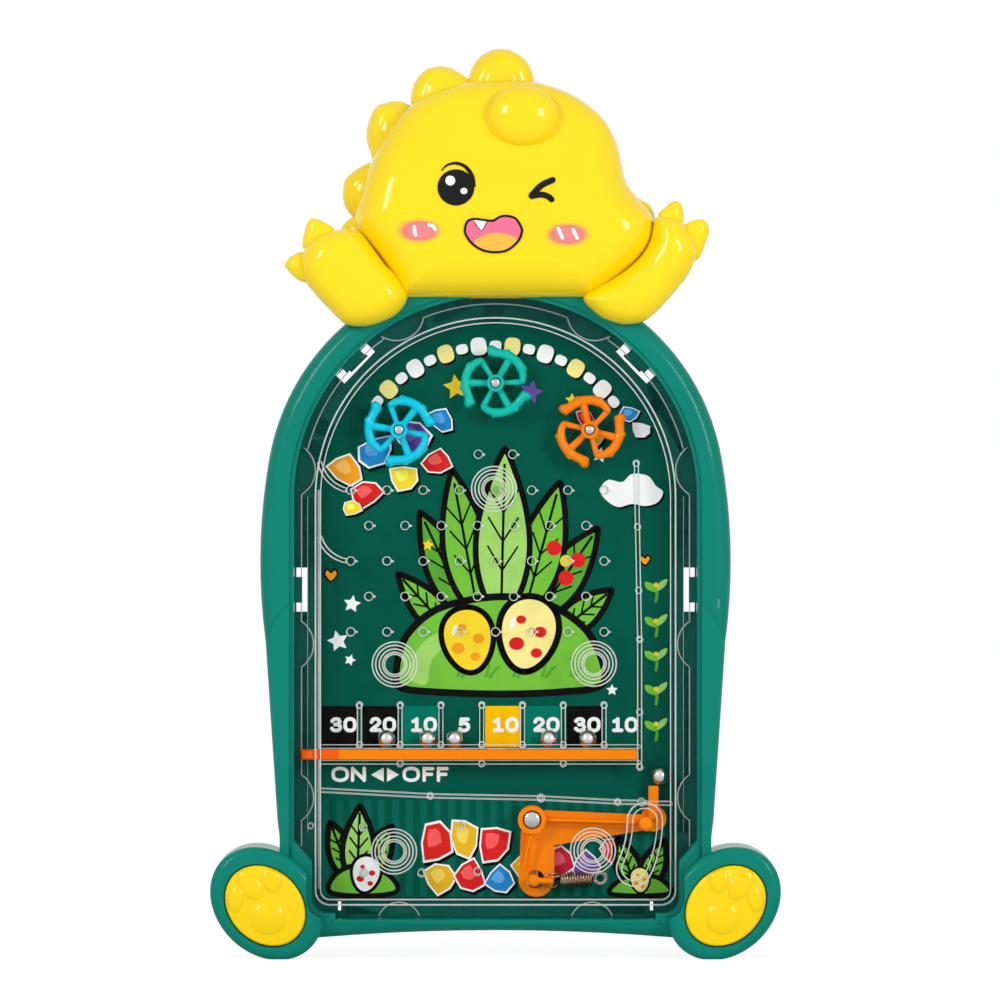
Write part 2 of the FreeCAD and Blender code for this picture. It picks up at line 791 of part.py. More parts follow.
def ring_set(x, height):
    """Low concentric ridges on the front of the pane."""
    ridges = []
    for radius in ring_radii:
        outer = disc(x, height, radius + ring_width / 2, pane_front_depth - ring_height,
                     pane_front_depth + ring_height)
        ridges.append(outer.cut(disc(x, height, radius - ring_width / 2,
                                     pane_front_depth - overrun, pane_front_depth + overrun)))
    return ridges


def cover_posts(margin):
    """The pins and the round posts that stand on the pane's back face."""
    places = [(x, height, pin_radius) for x, height in pin_places()]
    places += [(x, height, lower_post_radius) for x, height in lower_posts]
    places += [(x, height, wheel_post_radius) for _, x, height, _ in wheel_places]
    places.append((lever_pivot_x, lever_pivot_height, lever_post_radius))
    places.append((spring_post_x, spring_post_height, spring_post_radius))
    return [disc(x, height, radius + margin, post_back_depth, pane_back_depth)
            for x, height, radius in places]


def cover_pins():
    """Pins and posts of the cover, one solid each."""
    return Part.makeCompound(cover_posts(0))


def clear_cover():
    box = slab(cavity_wire(cover_wall), floor_front_depth, pane_front_depth)
    box = box.makeFillet(cover_wall / 2, edges_at(box, pane_front_depth))
    cavity = slab(cavity_wire(0), floor_front_depth - overrun, pane_back_depth)
    gusset_foot = arch_centre_height + cavity_half_width + cover_wall / 2
    gusset = slab(polygon([Vector(-gusset_size / 2, gusset_foot, 0),
                           Vector(gusset_size / 2, gusset_foot, 0),
                           Vector(0, gusset_foot + gusset_size, 0)]),
                  floor_front_depth, pane_back_depth)
    cover = box.cut(cavity).fuse(flange())
    ribs = lane_parts() + bin_parts() + gate_guides() + left_ribs() + chute_parts()
    inside = slab(cavity_wire(cover_wall / 2), post_back_depth, pane_back_depth)
    inside = inside.cut(cover_posts(pin_gap))
    cover = cover.fuse(Part.makeCompound(ribs).common(inside).Solids + [gusset])
    ridges = [ring for place in ring_places for ring in ring_set(*place)]
    cover = cover.fuse(ridges + [kidney(slot_half_width + slot_rim_width,
                                        pane_back_depth + pane_thickness / 2,
                                        pane_front_depth + slot_rim_height)])
    gate_slot = block(-flange_half_width - overrun, -cavity_half_width + overrun,
                      gate_height - gate_clearance, gate_top_height + gate_clearance,
                      floor_front_depth - overrun, pane_back_depth)
    cover = cover.cut([kidney(slot_half_width, pane_back_depth - overrun,
                              pane_front_depth + overrun), gate_slot])
    return cover.removeSplitter()


# Gate bar

def gate_bar():
    """A slotted bar: a rail under the pane with teeth that reach back to the card."""
    front = pane_back_depth - gate_clearance
    rail_back = front - gate_rail_depth
    right = lane_wall_x - gate_right_gap
    left = -gate_left_x
    rail = block(left, right, gate_height, gate_top_height, rail_back, front)
    comb_left = -cavity_half_width + gate_travel + gate_clearance
    comb = block(comb_left, right, gate_height, gate_top_height, card_front_depth + end_clearance,
                 rail_back)
    centres = [divider_x(i) + gate_notch_shift for i in range(bin_count - 1)]
    gaps = [block(x - gate_notch / 2, x + gate_notch / 2, - overrun,
                  gate_top_height + overrun, card_front_depth, rail_back) for x in centres]
    tab = block(left, left + gate_tab_width, gate_height, gate_top_height,
                pane_front_depth - gate_tab_depth, pane_front_depth)
    tab = tab.makeFillet(gate_tab_round, edges_at(tab, pane_front_depth))
    return rail.fuse([comb.cut(gaps), tab]).removeSplitter()


# Launcher lever

def lever_point(share, length):
    return Vector(lever_pivot_x + share[0] * length, lever_pivot_height + share[1] * length, 0)


def launcher_lever():
    """A bell crank: hub on the cover's post, an arm with peg and plunger, a leg with a hook."""
    back = lever_back_depth
    front = lever_plate_front
    end = Vector(lever_pivot_x + lever_arm_length, lever_pivot_height + lever_arm_rise, 0)
    leg_end = Vector(lever_pivot_x + lever_leg_shift, lever_pivot_height - lever_leg_length, 0)
    arm = [lever_point(s, lever_arm_length) for s in lever_arm_shares]
    leg = [lever_point(s, lever_leg_length) for s in lever_leg_shares]
    plate = slab(polygon([Vector(lever_pivot_x, lever_pivot_height, 0)] + arm + leg), back, front)
    discs = [disc(lever_pivot_x, lever_pivot_height, lever_hub_radius, back,
                  pane_back_depth - end_clearance),
             disc(end.x, end.y, lever_end_radius, back, front),
             disc(leg_end.x, leg_end.y, lever_leg_end_radius, back, front)]
    peg = polar(peg_distance, peg_angle, lever_pivot_x, lever_pivot_height)
    peg_front = pane_front_depth + peg_reach
    stem = disc(peg.x, peg.y, peg_radius, back, peg_front)
    stem = stem.makeFillet(peg_tip_round, edges_at(stem, peg_front))
    mid_height = plunger_top_height - (plunger_top_height - end.y) / 2
    plunger = block(plunger_x - plunger_width / 2, plunger_x + plunger_width / 2, end.y,
                    plunger_top_height, ball_depth - plunger_thickness / 2,
                    ball_depth + plunger_thickness / 2)
    foot_block = block(plunger_x - plunger_width / 2, plunger_x + plunger_width / 2, end.y,
                       min(mid_height, end.y + lever_end_radius / 2), back,
                       ball_depth + plunger_thickness / 2)
    hub_edge = Vector(lever_pivot_x + lever_hub_radius / 2, lever_pivot_height, 0)
    ribs = [bar(hub_edge, peg, lever_rib_thickness, back, front + lever_rib_height)]
    leg_rib = [lever_point(s, lever_leg_length) for s in lever_rib_shares]
    ribs.append(bar(*leg_rib, lever_rib_thickness, back, front + lever_rib_height))
    eye = disc(lever_pivot_x + hook_eye_x, lever_pivot_height - hook_eye_drop, hook_eye_radius,
               back - overrun, front + overrun)
    lever = plate.fuse(discs + [stem, plunger, foot_block] + ribs).cut(eye)
    finger_height = lever_pivot_height - hook_finger_drop
    half = hook_finger_width / 2
    finger = bar(Vector(lever_pivot_x + hook_finger_left, finger_height, 0),
                 Vector(lever_pivot_x + hook_finger_right - half, finger_height, 0),
                 hook_finger_width, front + hook_finger_lift,
                 front + hook_finger_lift + hook_finger_thickness)
    post = block(lever_pivot_x + hook_post_left, lever_pivot_x + hook_finger_right - half,
                 finger_height - half, finger_height + half, back,
                 front + hook_finger_lift + hook_finger_thickness)
    bore = disc(lever_pivot_x, lever_pivot_height, lever_post_radius + bore_clearance,
                back - overrun, pane_back_depth + overrun)
    return lever.fuse([finger, post]).cut(bore).removeSplitter()


# Return spring

def arc_from(start, heading, end):
    """The arc that leaves a point along a heading and ends at another point."""
    chord = end - start
    half = chord.Length / 2
    along = chord * (1 / chord.Length)
    side = heading - along * heading.dot(along)
    if side.Length < plane_slack ** 2:
        return line(start, end), Vector(heading)
    turn = math.acos(max(-1.0, min(1.0, heading.dot(along))))
    middle = start + along * half + side.normalize() * (half * math.tan(turn / 2))
    leaving = along * (2 * math.cos(turn)) - heading
    return arc(start, middle, end), leaving


def biarc(start, heading_a, end, heading_b):
    """Two arcs that meet smoothly and join two points with given headings."""
    gap = end - start
    total = heading_a + heading_b
    b = gap.dot(total)
    a = 2 * (1 - heading_a.dot(heading_b))
    if abs(a) < plane_slack ** 3:
        reach = gap.dot(gap) / (4 * gap.dot(heading_b))
    else:
        reach = (-b + math.sqrt(b * b + a * gap.dot(gap))) / a
    knee = (start + end + (heading_a - heading_b) * reach) * 0.5
    first, leaving = arc_from(start, heading_a, knee)
    second, _ = arc_from(knee, leaving, end)
    return [first, second]


def spring_stations():
    """Points and headings along the wire: left loop, coil, right loop, in the spring's own frame.

    The axis runs along X through the middle of both loops. The coil is a helix with two stations
    a turn, so that each pair of arcs makes a quarter turn.
    """
    length = spring_span()
    coil_length = spring_turns * spring_pitch
    coil_start = (length - coil_length) / 2
    stations = []
    sweep = spring_left_end_angle - spring_left_open_angle
    for step in range(spring_loop_steps + 1):
        angle = math.radians(spring_left_open_angle + step * sweep / spring_loop_steps)
        r = spring_left_loop_radius
        stations.append((Vector(r * math.cos(angle), r * math.sin(angle), 0),
                         Vector(math.sin(angle), -math.cos(angle), 0)))
    rise = spring_pitch / (2 * math.pi)
    quarters = 4 * spring_turns
    for step in range(quarters + 1):
        angle = step * math.pi / 2
        r = spring_coil_radius
        stations.append((Vector(coil_start + rise * angle, r * math.cos(angle),
                                -r * math.sin(angle)),
                         Vector(rise, -r * math.sin(angle), -r * math.cos(angle)).normalize()))
    sweep = spring_right_end_angle - 90
    for step in range(spring_loop_steps + 1):
        angle = math.radians(90 + step * sweep / spring_loop_steps)
        r = spring_right_loop_radius
        stations.append((Vector(length + r * math.cos(angle), r * math.sin(angle), 0),
                         Vector(math.sin(angle), -math.cos(angle), 0)))
    return stations


def spring_span():
    """The distance between the middles of the two end loops."""
    left = Vector(lever_pivot_x + spring_left_x, lever_pivot_height - spring_left_drop, 0)
    return (Vector(spring_post_x, spring_post_height, 0) - left).Length


def least_gap(path):
    """The least distance from the tube to itself, measured on points along its centre line."""
    points = path.discretize(Distance=spring_wire / 2)
    nearest = path.Length
    for i, p in enumerate(points):
        for q in points[i + spring_own_points:]:
            nearest = min(nearest, p.distanceToPoint(q))
    return nearest - spring_wire


def return_spring():
    stations = spring_stations()
    edges = []
    for (a, heading_a), (b, heading_b) in zip(stations, stations[1:]):
        edges += biarc(a, heading_a, b, heading_b)
    path = Part.Wire(edges)
    start, heading = stations[0]
    ring = Part.Wire([Part.Circle(start, heading, spring_wire / 2).toShape()])
    tube = path.makePipeShell([ring], True, False)
    section = math.pi * spring_wire ** 2 / 4
    print("spring: least gap to itself %.2f mm, volume over section times length %.3f"
          % (least_gap(path), tube.Volume / (section * path.Length)))
    left = Vector(lever_pivot_x + spring_left_x, lever_pivot_height - spring_left_drop, 0)
    slope = math.degrees(math.atan2(spring_post_height - left.y, spring_post_x - left.x))
    tube.rotate(Vector(0, 0, 0), Vector(0, 0, 1), slope)
    tube.translate(left + Vector(0, 0, lever_plate_front + spring_depth_above_plate))
    return tube


# Spinner wheels

def wheel_layer(turn, margin, half_depth, rim_depth, low_depth):
    """One layer of the vanes, knobs, bumps and spokes, narrower and deeper with the margin."""
    back, front = rim_depth - half_depth, rim_depth + half_depth
    low_back, low_front = low_depth - half_depth, low_depth + half_depth
    parts = []
    for i in range(wheel_vanes):
        start = turn + i * 360 / wheel_vanes
        middle = start + wheel_vane_sweep / 2
        spots = [polar(wheel_vane_radius, angle)
                 for angle in (start, middle, start + wheel_vane_sweep)]
        parts.append(curved_bar(*spots, 2 * (wheel_tube_radius - margin), back, front))
        parts.append(disc(spots[0].x, spots[0].y, wheel_knob_radius - margin, back, front))
        parts.append(disc(spots[2].x, spots[2].y, wheel_end_radius - margin, back, front))
        for share in wheel_bump_shares:
            bump = polar(wheel_vane_radius + wheel_bump_out, start + share * wheel_vane_sweep)
            parts.append(disc(bump.x, bump.y, wheel_bump_radius - margin, back, front))
        parts.append(bar(polar(wheel_hub_radius / 2, middle), spots[1],
                         2 * (wheel_spoke_radius - margin), back, front))
        low = polar(wheel_low_reach, middle + 180 / wheel_vanes)
        parts.append(bar(low * (wheel_hub_radius / wheel_low_reach / 2), low,
                         2 * (wheel_spoke_radius - margin), low_back, low_front))
        parts.append(disc(low.x, low.y, wheel_bump_radius - margin, low_back, low_front))
    return parts


def wheel(x, height, turn):
    """A hub with spokes that carry curved vanes, each with a knob at one end and two bumps."""
    back = card_front_depth + 2 * end_clearance
    front = pane_back_depth - end_clearance
    rim_depth = front - wheel_half_depth - end_clearance
    low_depth = back + wheel_half_depth + end_clearance
    parts = wheel_layer(turn, 0, wheel_half_depth - wheel_edge, rim_depth, low_depth)
    parts += wheel_layer(turn, wheel_edge, wheel_half_depth, rim_depth, low_depth)
    solid = disc(0, 0, wheel_hub_radius, back, front).fuse(parts)
    solid = solid.cut(disc(0, 0, wheel_post_radius + bore_clearance, back - overrun,
                           front + overrun))
    solid.translate(Vector(x, height, 0))
    return solid


# Balls

def ball_centres():
    """One ball on the gate in each of five bins, and one on the plunger in the lane."""
    centres = []
    for bin_index, share in ball_places:
        left = divider_x(bin_index - 1)
        centres.append(Vector(left + share * bin_pitch, gate_top_height + ball_gap + ball_radius,
                              ball_depth))
    lane_x = cavity_half_width - ball_radius - ball_gap
    reach = ball_radius + ball_gap
    side = lane_x - (plunger_x + plunger_width / 2)
    centres.append(Vector(lane_x, plunger_top_height + math.sqrt(reach ** 2 - side ** 2),
                          ball_depth))
    return centres


# Paw pads

def paw_pad(side):
    """The domed pad in a foot, with a round sole cushion and three toes in relief."""
    seat = foot_depth - pad_seat_depth
    body = pad_oval(side, 0, seat + pad_back_gap, foot_depth)
    body = body.makeFillet(pad_edge_round, edges_at(body, foot_depth))
    x = side * (foot_centre_x + pad_offset_x)
    height = foot_height - pad_drop
    crown = ellipsoid(x, height, foot_depth - pad_dome,
                      (pad_long_radius - pad_edge_round, pad_short_radius - pad_edge_round,
                       2 * pad_dome), side * foot_tilt)
    cushions = [ellipsoid(x - side * sole_places[0], height + sole_places[1],
                          foot_depth + pad_dome / 2,
                          (sole_radius, sole_radius, pad_dome / 2 + toe_rise))]
    for toe_x, toe_height, tilt in toe_places:
        angle = tilt if side < 0 else 180 - tilt
        cushions.append(ellipsoid(x - side * toe_x, height + toe_height, foot_depth,
                                  (toe_length, toe_radius, pad_dome / 2 + toe_rise), angle))
    limit = pad_oval(side, -pad_edge_round / 2, seat, foot_depth + 2 * overrun)
    relief = Part.makeCompound([crown] + cushions).common(limit)
    return body.fuse(relief.Solids).removeSplitter()


# Head and arms

def at_pixel(pixel, depth=0.0):
    """The place of a pixel of the reference picture."""
    return Vector((pixel[0] - picture_middle) * picture_scale,
                  (picture_ground - pixel[1]) * picture_scale, depth)


def puff_wire(pixels, scale, depth, inset, closed):
    """An outline scaled about the middle of its box, as a wire at one depth."""
    points = [at_pixel(p) for p in pixels]
    low = Vector(min(p.x for p in points), min(p.y for p in points), 0)
    high = Vector(max(p.x for p in points), max(p.y for p in points), 0)
    middle = (low + high) * (1 / 2)
    wide = scale * (1 - 2 * inset / (high.x - low.x))
    tall = scale * (1 - 2 * inset / (high.y - low.y))
    placed = [Vector(middle.x + (p.x - middle.x) * wide, middle.y + (p.y - middle.y) * tall,
                     depth) for p in points]
    curve = Part.BSplineCurve()
    curve.interpolate(placed, closed)
    edges = [curve.toShape()]
    if not closed:
        edges.append(line(placed[-1], placed[0]))
    return Part.Wire(edges)


def puff(pixels, start, end, powers, inset=0.0, closed=True):
    """A cushion over an outline, full size at the start depth and rounded off to the end depth.

    At each angle t the section is scaled by cos(t)^(2/side power) and lies at sin(t)^(2/depth
    power) of the reach.
    """
    depth_power, side_power = powers
    reach = end - start - math.copysign(inset, end - start)
    wires = []
    for i in range(puff_sections):
        turn = puff_reach_share * (math.pi / 2) * i / (puff_sections - 1)
        wires.append(puff_wire(pixels, math.cos(turn) ** (2 / side_power),
                               start + reach * math.sin(turn) ** (2 / depth_power), inset, closed))
    return Part.makeLoft(wires, True, False)


def head_dome(inset, end):
    return puff(head_outline_pixels, head_parting_depth, end, (head_depth_power, head_side_power),
                inset, False)


def horn(inset):
    place = at_pixel(horn_pixel)
    return ellipsoid(place.x, place.y, horn_depth, [r - inset for r in horn_radii])


def crest():
    """The plates along the head's edge."""
    plates = []
    for pixel, radii, half_depth in crest_pixels:
        place = at_pixel(pixel)
        sizes = [r * picture_scale for r in radii] + [half_depth]
        depth = min(crest_depth, arm_back_depth - head_seat_gap - half_depth)
        plates.append(ellipsoid(place.x, place.y, depth, sizes))
    return plates


def arch_block(clearance):
    """The room that the tray's arch takes, with a clearance."""
    return disc(0, arch_centre_height, tray_arch_radius + clearance, -overrun,
                tray_depth + clearance)


def arm_body(side, inset):
    pixels = right_arm_pixels if side > 0 else left_arm_pixels
    powers = (arm_depth_power, arm_side_power)
    front = puff(pixels, arm_parting_depth, arm_front_depth, powers, inset)
    return front.fuse(puff(pixels, arm_parting_depth, arm_back_depth, powers, inset))


def shell_screw_places():
    return [at_pixel(p) for p in shell_screw_pixels]


def head_shell(front):
    """The front or rear half of the hollow head, with posts for its screws."""
    end = head_front_depth if front else head_back_depth
    outer = head_dome(0, end)
    inner = head_dome(head_wall, end)
    far = end + (overrun if front else -overrun)
    reach = head_front_depth + overrun
    half = block(-2 * reach, 2 * reach, arch_centre_height, arch_centre_height + 5 * reach,
                 min(head_parting_depth, far), max(head_parting_depth, far))
    outer = outer.fuse([plate.common(half) for plate in crest()])
    if front:
        outer = outer.fuse(horn(0).common(half))
        inner = inner.fuse(horn(head_wall).common(half))
    inner = inner.cut(arch_block(head_seat_gap + head_wall))
    posts = [disc(p.x, p.y, boss_radius, min(head_parting_depth, far), max(head_parting_depth, far))
             for p in shell_screw_places()]
    if front:
        posts += [disc(x, y, boss_radius, tray_depth, tray_depth + boss_length)
                  for group, _, x, y in arch_screw_places() if group == "head"]
    shell = outer.cut(inner.cut(posts)).cut(arch_block(head_seat_gap))
    cuts = []
    for p in shell_screw_places():
        cuts.append(disc(p.x, p.y, screw_shank_radius + screw_gap, -overrun,
                         head_parting_depth + screw_bite))
        if not front:
            cuts.append(disc(p.x, p.y, screw_head_radius + 2 * screw_gap, -overrun,
                             shell_screw_seat + screw_head_height))
    if front:
        cuts += [disc(x, y, screw_shank_radius + screw_gap, tray_depth - overrun,
                      tray_depth + screw_bite)
                 for group, _, x, y in arch_screw_places() if group == "head"]
    else:
        cuts.append(block(-2 * reach, 2 * reach, arch_centre_height,
                          arch_centre_height + 5 * reach, head_parting_depth - parting_gap,
                          far + 2 * reach))
    return shell.cut(cuts)


def arm(side):
    """One hollow arm, cut to sit on the rim and against the head, with two claws and a post."""
    powers = (arm_depth_power, arm_side_power)
    claws = []
    for pixels in (right_claw_pixels if side > 0 else left_claw_pixels):
        for sign in (-1, 1):
            claws.append(puff(pixels, arm_parting_depth, arm_parting_depth
                              + sign * claw_half_depth, powers))
    body = arm_body(side, 0)
    spot = [p for p in arch_screw_places() if p[0] == "arm" and p[1] == side][0]
    post = disc(spot[2], spot[3], boss_radius, tray_depth, tray_depth + boss_length)
    head = [head_dome(-arm_head_gap, head_front_depth), head_dome(-arm_head_gap, head_back_depth)]
    thick_head = [head_dome(-arm_head_gap - arm_wall, head_front_depth),
                  head_dome(-arm_head_gap - arm_wall, head_back_depth)]
    hollow = arm_body(side, arm_wall).cut(arch_block(head_seat_gap + arm_wall)).cut(thick_head)
    solid = body.fuse(claws).cut(arch_block(head_seat_gap)).cut(hollow.cut(post)).cut(head)
    solid = solid.cut(disc(spot[2], spot[3], screw_shank_radius + screw_gap,
                           tray_depth - overrun, tray_depth + screw_bite))
    return max(solid.Solids, key=lambda s: s.Volume)


def screw(x, height, under_head, tip):
    shank = disc(x, height, screw_shank_radius, under_head, tip)
    head = disc(x, height, screw_head_radius, under_head - screw_head_height, under_head)
    return head.fuse(shank)


def rim_screws(group):
    """Round-headed screws that come through the rim from the hollow behind it."""
    return Part.makeCompound([screw(x, height, tray_depth - tray_wall - screw_gap,
                                    tray_depth + screw_bite - 2 * screw_gap)
                              for name, _, x, height in arch_screw_places() if name == group])


def shell_screws():
    """Screws that hold the two halves of the head together, from the rear."""
    return Part.makeCompound([screw(p.x, p.y, shell_screw_seat + screw_head_height - screw_gap,
                                    head_parting_depth + screw_bite - 2 * screw_gap)
                              for p in shell_screw_places()])


def stand_up(shape):
    """Turn a piece upright and put the middle of the whole depth at Y = 0."""
    shape.rotate(Vector(0, 0, 0), Vector(1, 0, 0), 90)
    shape.translate(Vector(0, head_front_depth / 2, 0))
    return shape


def pieces():
    """Every piece by name."""
    made = {"tray": tray(), "playfield_card": playfield_card(), "clear_cover": clear_cover(),
            "cover_pins": cover_pins(), "gate_bar": gate_bar(),
            "launcher_lever": launcher_lever(), "return_spring": return_spring()}
    for name, x, height, turn in wheel_places:
        made[name] = wheel(x, height, turn)
    for number, centre in enumerate(ball_centres(), 1):
        made["ball_%d" % number] = Part.makeSphere(ball_radius, centre)
    for side, word in ((-1, "left"), (1, "right")):
        made[word + "_paw_pad"] = paw_pad(side)
        made[word + "_arm"] = arm(side)
    made["head_front_shell"] = head_shell(True)
    made["head_rear_shell"] = head_shell(False)
    made["head_screws"] = rim_screws("head")
    made["arm_screws"] = rim_screws("arm")
    made["shell_screws"] = shell_screws()
    return made


os.makedirs("parts", exist_ok=True)
for piece_name, piece in pieces().items():
    upright = stand_up(piece)
    box = upright.BoundBox
    print("%-18s valid %s, %d solid(s), %.0f mm3, X %.1f..%.1f Y %.1f..%.1f Z %.1f..%.1f" % (
        piece_name, upright.isValid(), len(upright.Solids), upright.Volume,
        box.XMin, box.XMax, box.YMin, box.YMax, box.ZMin, box.ZMax))
    upright.exportStep("parts/%s.step" % piece_name)
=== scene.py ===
import math

import bmesh
import bpy
import numpy as np
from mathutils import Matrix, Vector


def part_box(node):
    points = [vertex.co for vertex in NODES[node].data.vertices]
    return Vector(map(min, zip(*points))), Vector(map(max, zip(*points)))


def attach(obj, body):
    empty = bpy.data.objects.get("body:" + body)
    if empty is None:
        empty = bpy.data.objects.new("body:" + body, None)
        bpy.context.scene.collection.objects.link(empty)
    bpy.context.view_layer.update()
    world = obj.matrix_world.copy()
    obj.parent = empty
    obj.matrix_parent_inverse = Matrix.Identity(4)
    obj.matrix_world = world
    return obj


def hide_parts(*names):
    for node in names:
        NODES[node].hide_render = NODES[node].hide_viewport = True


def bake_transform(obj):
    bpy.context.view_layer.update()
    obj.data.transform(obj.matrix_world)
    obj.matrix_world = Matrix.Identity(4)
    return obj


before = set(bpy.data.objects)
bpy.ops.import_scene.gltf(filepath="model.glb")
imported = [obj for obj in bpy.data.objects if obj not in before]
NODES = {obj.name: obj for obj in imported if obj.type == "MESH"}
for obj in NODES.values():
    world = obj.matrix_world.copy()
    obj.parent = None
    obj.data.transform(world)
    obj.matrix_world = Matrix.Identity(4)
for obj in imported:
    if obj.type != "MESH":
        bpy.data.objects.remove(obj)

bl_info = {
    "name": "Pinball toy",
    "version": (1, 0, 0),
    "blender": (4, 5, 0),
    "location": "3D View > Sidebar > Pinball toy",
    "description": "Builds the visible pieces of a hand-held pinball toy around its frame",
    "category": "Object",
}

MM = 0.001
PICTURE_SCALE = 0.325 * MM
PICTURE_MIDDLE = 495.5
PICTURE_GROUND = 957.5
IMAGE_CENTRE = (500.0, 500.0)
BACK_Y = 0.018
HOUSING = "housing"
ARCH_HEIGHT = 149.4
# The pocket's edge, sill and depths, and the colour of the shade painted into it
POCKET_EDGE = (0.0656, 0.0664)
POCKET_SILL = (0.0115, 0.0123)
POCKET_SHADE_DEPTHS = (5.7, 15.5)
POCKET_SHADE_COLOUR = (0.42, 0.42, 0.42)
# The gate bar is painted darker, as shade, to the left of this place
GATE_SHADE_END = -0.051


# Places

def px(x):
    """World X of a pixel column."""
    return (np.asarray(x, float) - PICTURE_MIDDLE) * PICTURE_SCALE


def pz(y):
    """World Z of a pixel row."""
    return (PICTURE_GROUND - np.asarray(y, float)) * PICTURE_SCALE


def at_pixels(points):
    """An array of world X and Z for a list of pixels."""
    p = np.asarray(points, float)
    return np.stack([px(p[..., 0]), pz(p[..., 1])], -1)


def at_depth(depth_mm):
    """World Y of a depth in millimetres, counted from the back plane to the front."""
    return BACK_Y - np.asarray(depth_mm, float) * MM


# Curves, worked out as whole arrays

def catmull(points, count, closed):
    """A smooth curve through the points.

    Between two points the curve is the cubic whose end slopes are half the step from the point
    before to the point after.
    """
    p = np.asarray(points, float)
    n = len(p)
    if closed:
        ring = np.concatenate([p[-1:], p, p[:2]])
        t = np.linspace(0, n, count, endpoint=False)
    else:
        ring = np.concatenate([2 * p[:1] - p[1:2], p, 2 * p[-1:] - p[-2:-1]])
        t = np.linspace(0, n - 1 - 1e-9, count)
    i = np.floor(t).astype(int)
    u = (t - i)[:, None]
    a, b, c, d = ring[i], ring[i + 1], ring[i + 2], ring[i + 3]
    return 0.5 * (2 * b + (c - a) * u + (2 * a - 5 * b + 4 * c - d) * u ** 2
                  + (3 * b - a - 3 * c + d) * u ** 3)


def full_turn(count):
    """Angles once round, without the last that would meet the first."""
    return np.linspace(0, 2 * np.pi, count, endpoint=False)


def turned(x, y, across, down, tilt):
    """Points about (x, y), given along two axes that are turned by tilt degrees."""
    c, s = math.cos(math.radians(tilt)), math.sin(math.radians(tilt))
    return np.stack([x + c * across - s * down, y + s * across + c * down], -1)


def ellipse(x, y, rx, ry, count=48, tilt=0.0):
    """Points of an ellipse about (x, y), turned by tilt degrees."""
    t = full_turn(count)
    return turned(x, y, rx * np.cos(t), ry * np.sin(t), tilt)


def arc(middle, radius, degrees):
    """Points of a circle about a middle, at the angles given in degrees."""
    t = np.radians(degrees)
    return np.asarray(middle) + radius * np.stack([np.cos(t), np.sin(t)], -1)


def star(x, y, radius, turn):
    """A five-pointed star: the radius is whole and half by turns."""
    corner = np.arange(10)
    t = corner * np.pi / 5 - np.pi / 2 + math.radians(turn)
    r = np.where(corner % 2 == 0, radius, radius * 0.5)
    return np.stack([x + r * np.cos(t), y + r * np.sin(t)], -1)


def directions(path, closed):
    """The unit direction of a path at each of its points."""
    if closed:
        along = np.roll(path, -1, 0) - np.roll(path, 1, 0)
    else:
        along = np.gradient(path, axis=0)
    return along / np.maximum(np.linalg.norm(along, axis=1, keepdims=True), 1e-12)


def sides(path, half_widths, closed):
    """The two edges of a band along a flat path: the path plus and minus its normal."""
    along = directions(path, closed)
    normal = np.stack([-along[:, 1], along[:, 0]], -1)
    return path + normal * half_widths[:, None], path - normal * half_widths[:, None]


# Meshes

def grid_faces(rows, columns, wrap_rows, wrap_columns):
    """The four corners of every cell of a grid of points, in one array."""
    r = np.arange(rows if wrap_rows else rows - 1)
    c = np.arange(columns if wrap_columns else columns - 1)
    r, c = np.meshgrid(r, c, indexing="ij")
    r2, c2 = (r + 1) % rows, (c + 1) % columns
    faces = np.stack([r * columns + c, r * columns + c2, r2 * columns + c2, r2 * columns + c], -1)
    return faces.reshape(-1, 4)


def make_object(name, vertices, faces, material, values=None):
    """An object whose place is in its mesh, smooth, with optional point attributes."""
    mesh = bpy.data.meshes.new(name)
    faces = [list(map(int, f)) for f in faces]
    mesh.from_pydata([tuple(v) for v in np.asarray(vertices, float)], [], faces)
    mesh.polygons.foreach_set("use_smooth", np.ones(len(mesh.polygons), bool))
    for key, array in (values or {}).items():
        array = np.asarray(array, np.float32)
        if array.ndim == 1:
            mesh.attributes.new(key, "FLOAT", "POINT").data.foreach_set("value", array)
        else:
            colour = mesh.attributes.new(key, "FLOAT_COLOR", "POINT")
            colour.data.foreach_set("color", array.ravel())
    mesh.materials.append(material)
    mesh.validate()
    mesh.update()
    piece = bpy.data.objects.new(name, mesh)
    bpy.context.scene.collection.objects.link(piece)
    return piece


def closed_grid(rings):
    """Vertices and faces of a closed skin: rings of points, each end drawn to its middle."""
    rings = np.asarray(rings, float)
    rows, columns, _ = rings.shape
    vertices = np.concatenate([rings.reshape(-1, 3), rings[:1].mean(1), rings[-1:].mean(1)])
    faces = [tuple(f) for f in grid_faces(rows, columns, False, True)]
    c = np.arange(columns)
    nxt = (c + 1) % columns
    first, last = rows * columns, rows * columns + 1
    faces += list(zip(nxt, c, np.full(columns, first)))
    faces += list(zip((rows - 1) * columns + c, (rows - 1) * columns + nxt,
                      np.full(columns, last)))
    return vertices, faces


def skin_mesh(name, skins, material):
    """One object of closed skins, each with its points and faces, that all face outwards."""
    starts = np.cumsum([0] + [len(points) for points, _ in skins])
    faces = [[i + start for i in face] for start, (_, cells) in zip(starts, skins)
             for face in cells]
    piece = make_object(name, np.concatenate([points for points, _ in skins]), faces, material)
    work = bmesh.new()
    work.from_mesh(piece.data)
    bmesh.ops.recalc_face_normals(work, faces=work.faces)
    work.to_mesh(piece.data)
    work.free()
    return piece


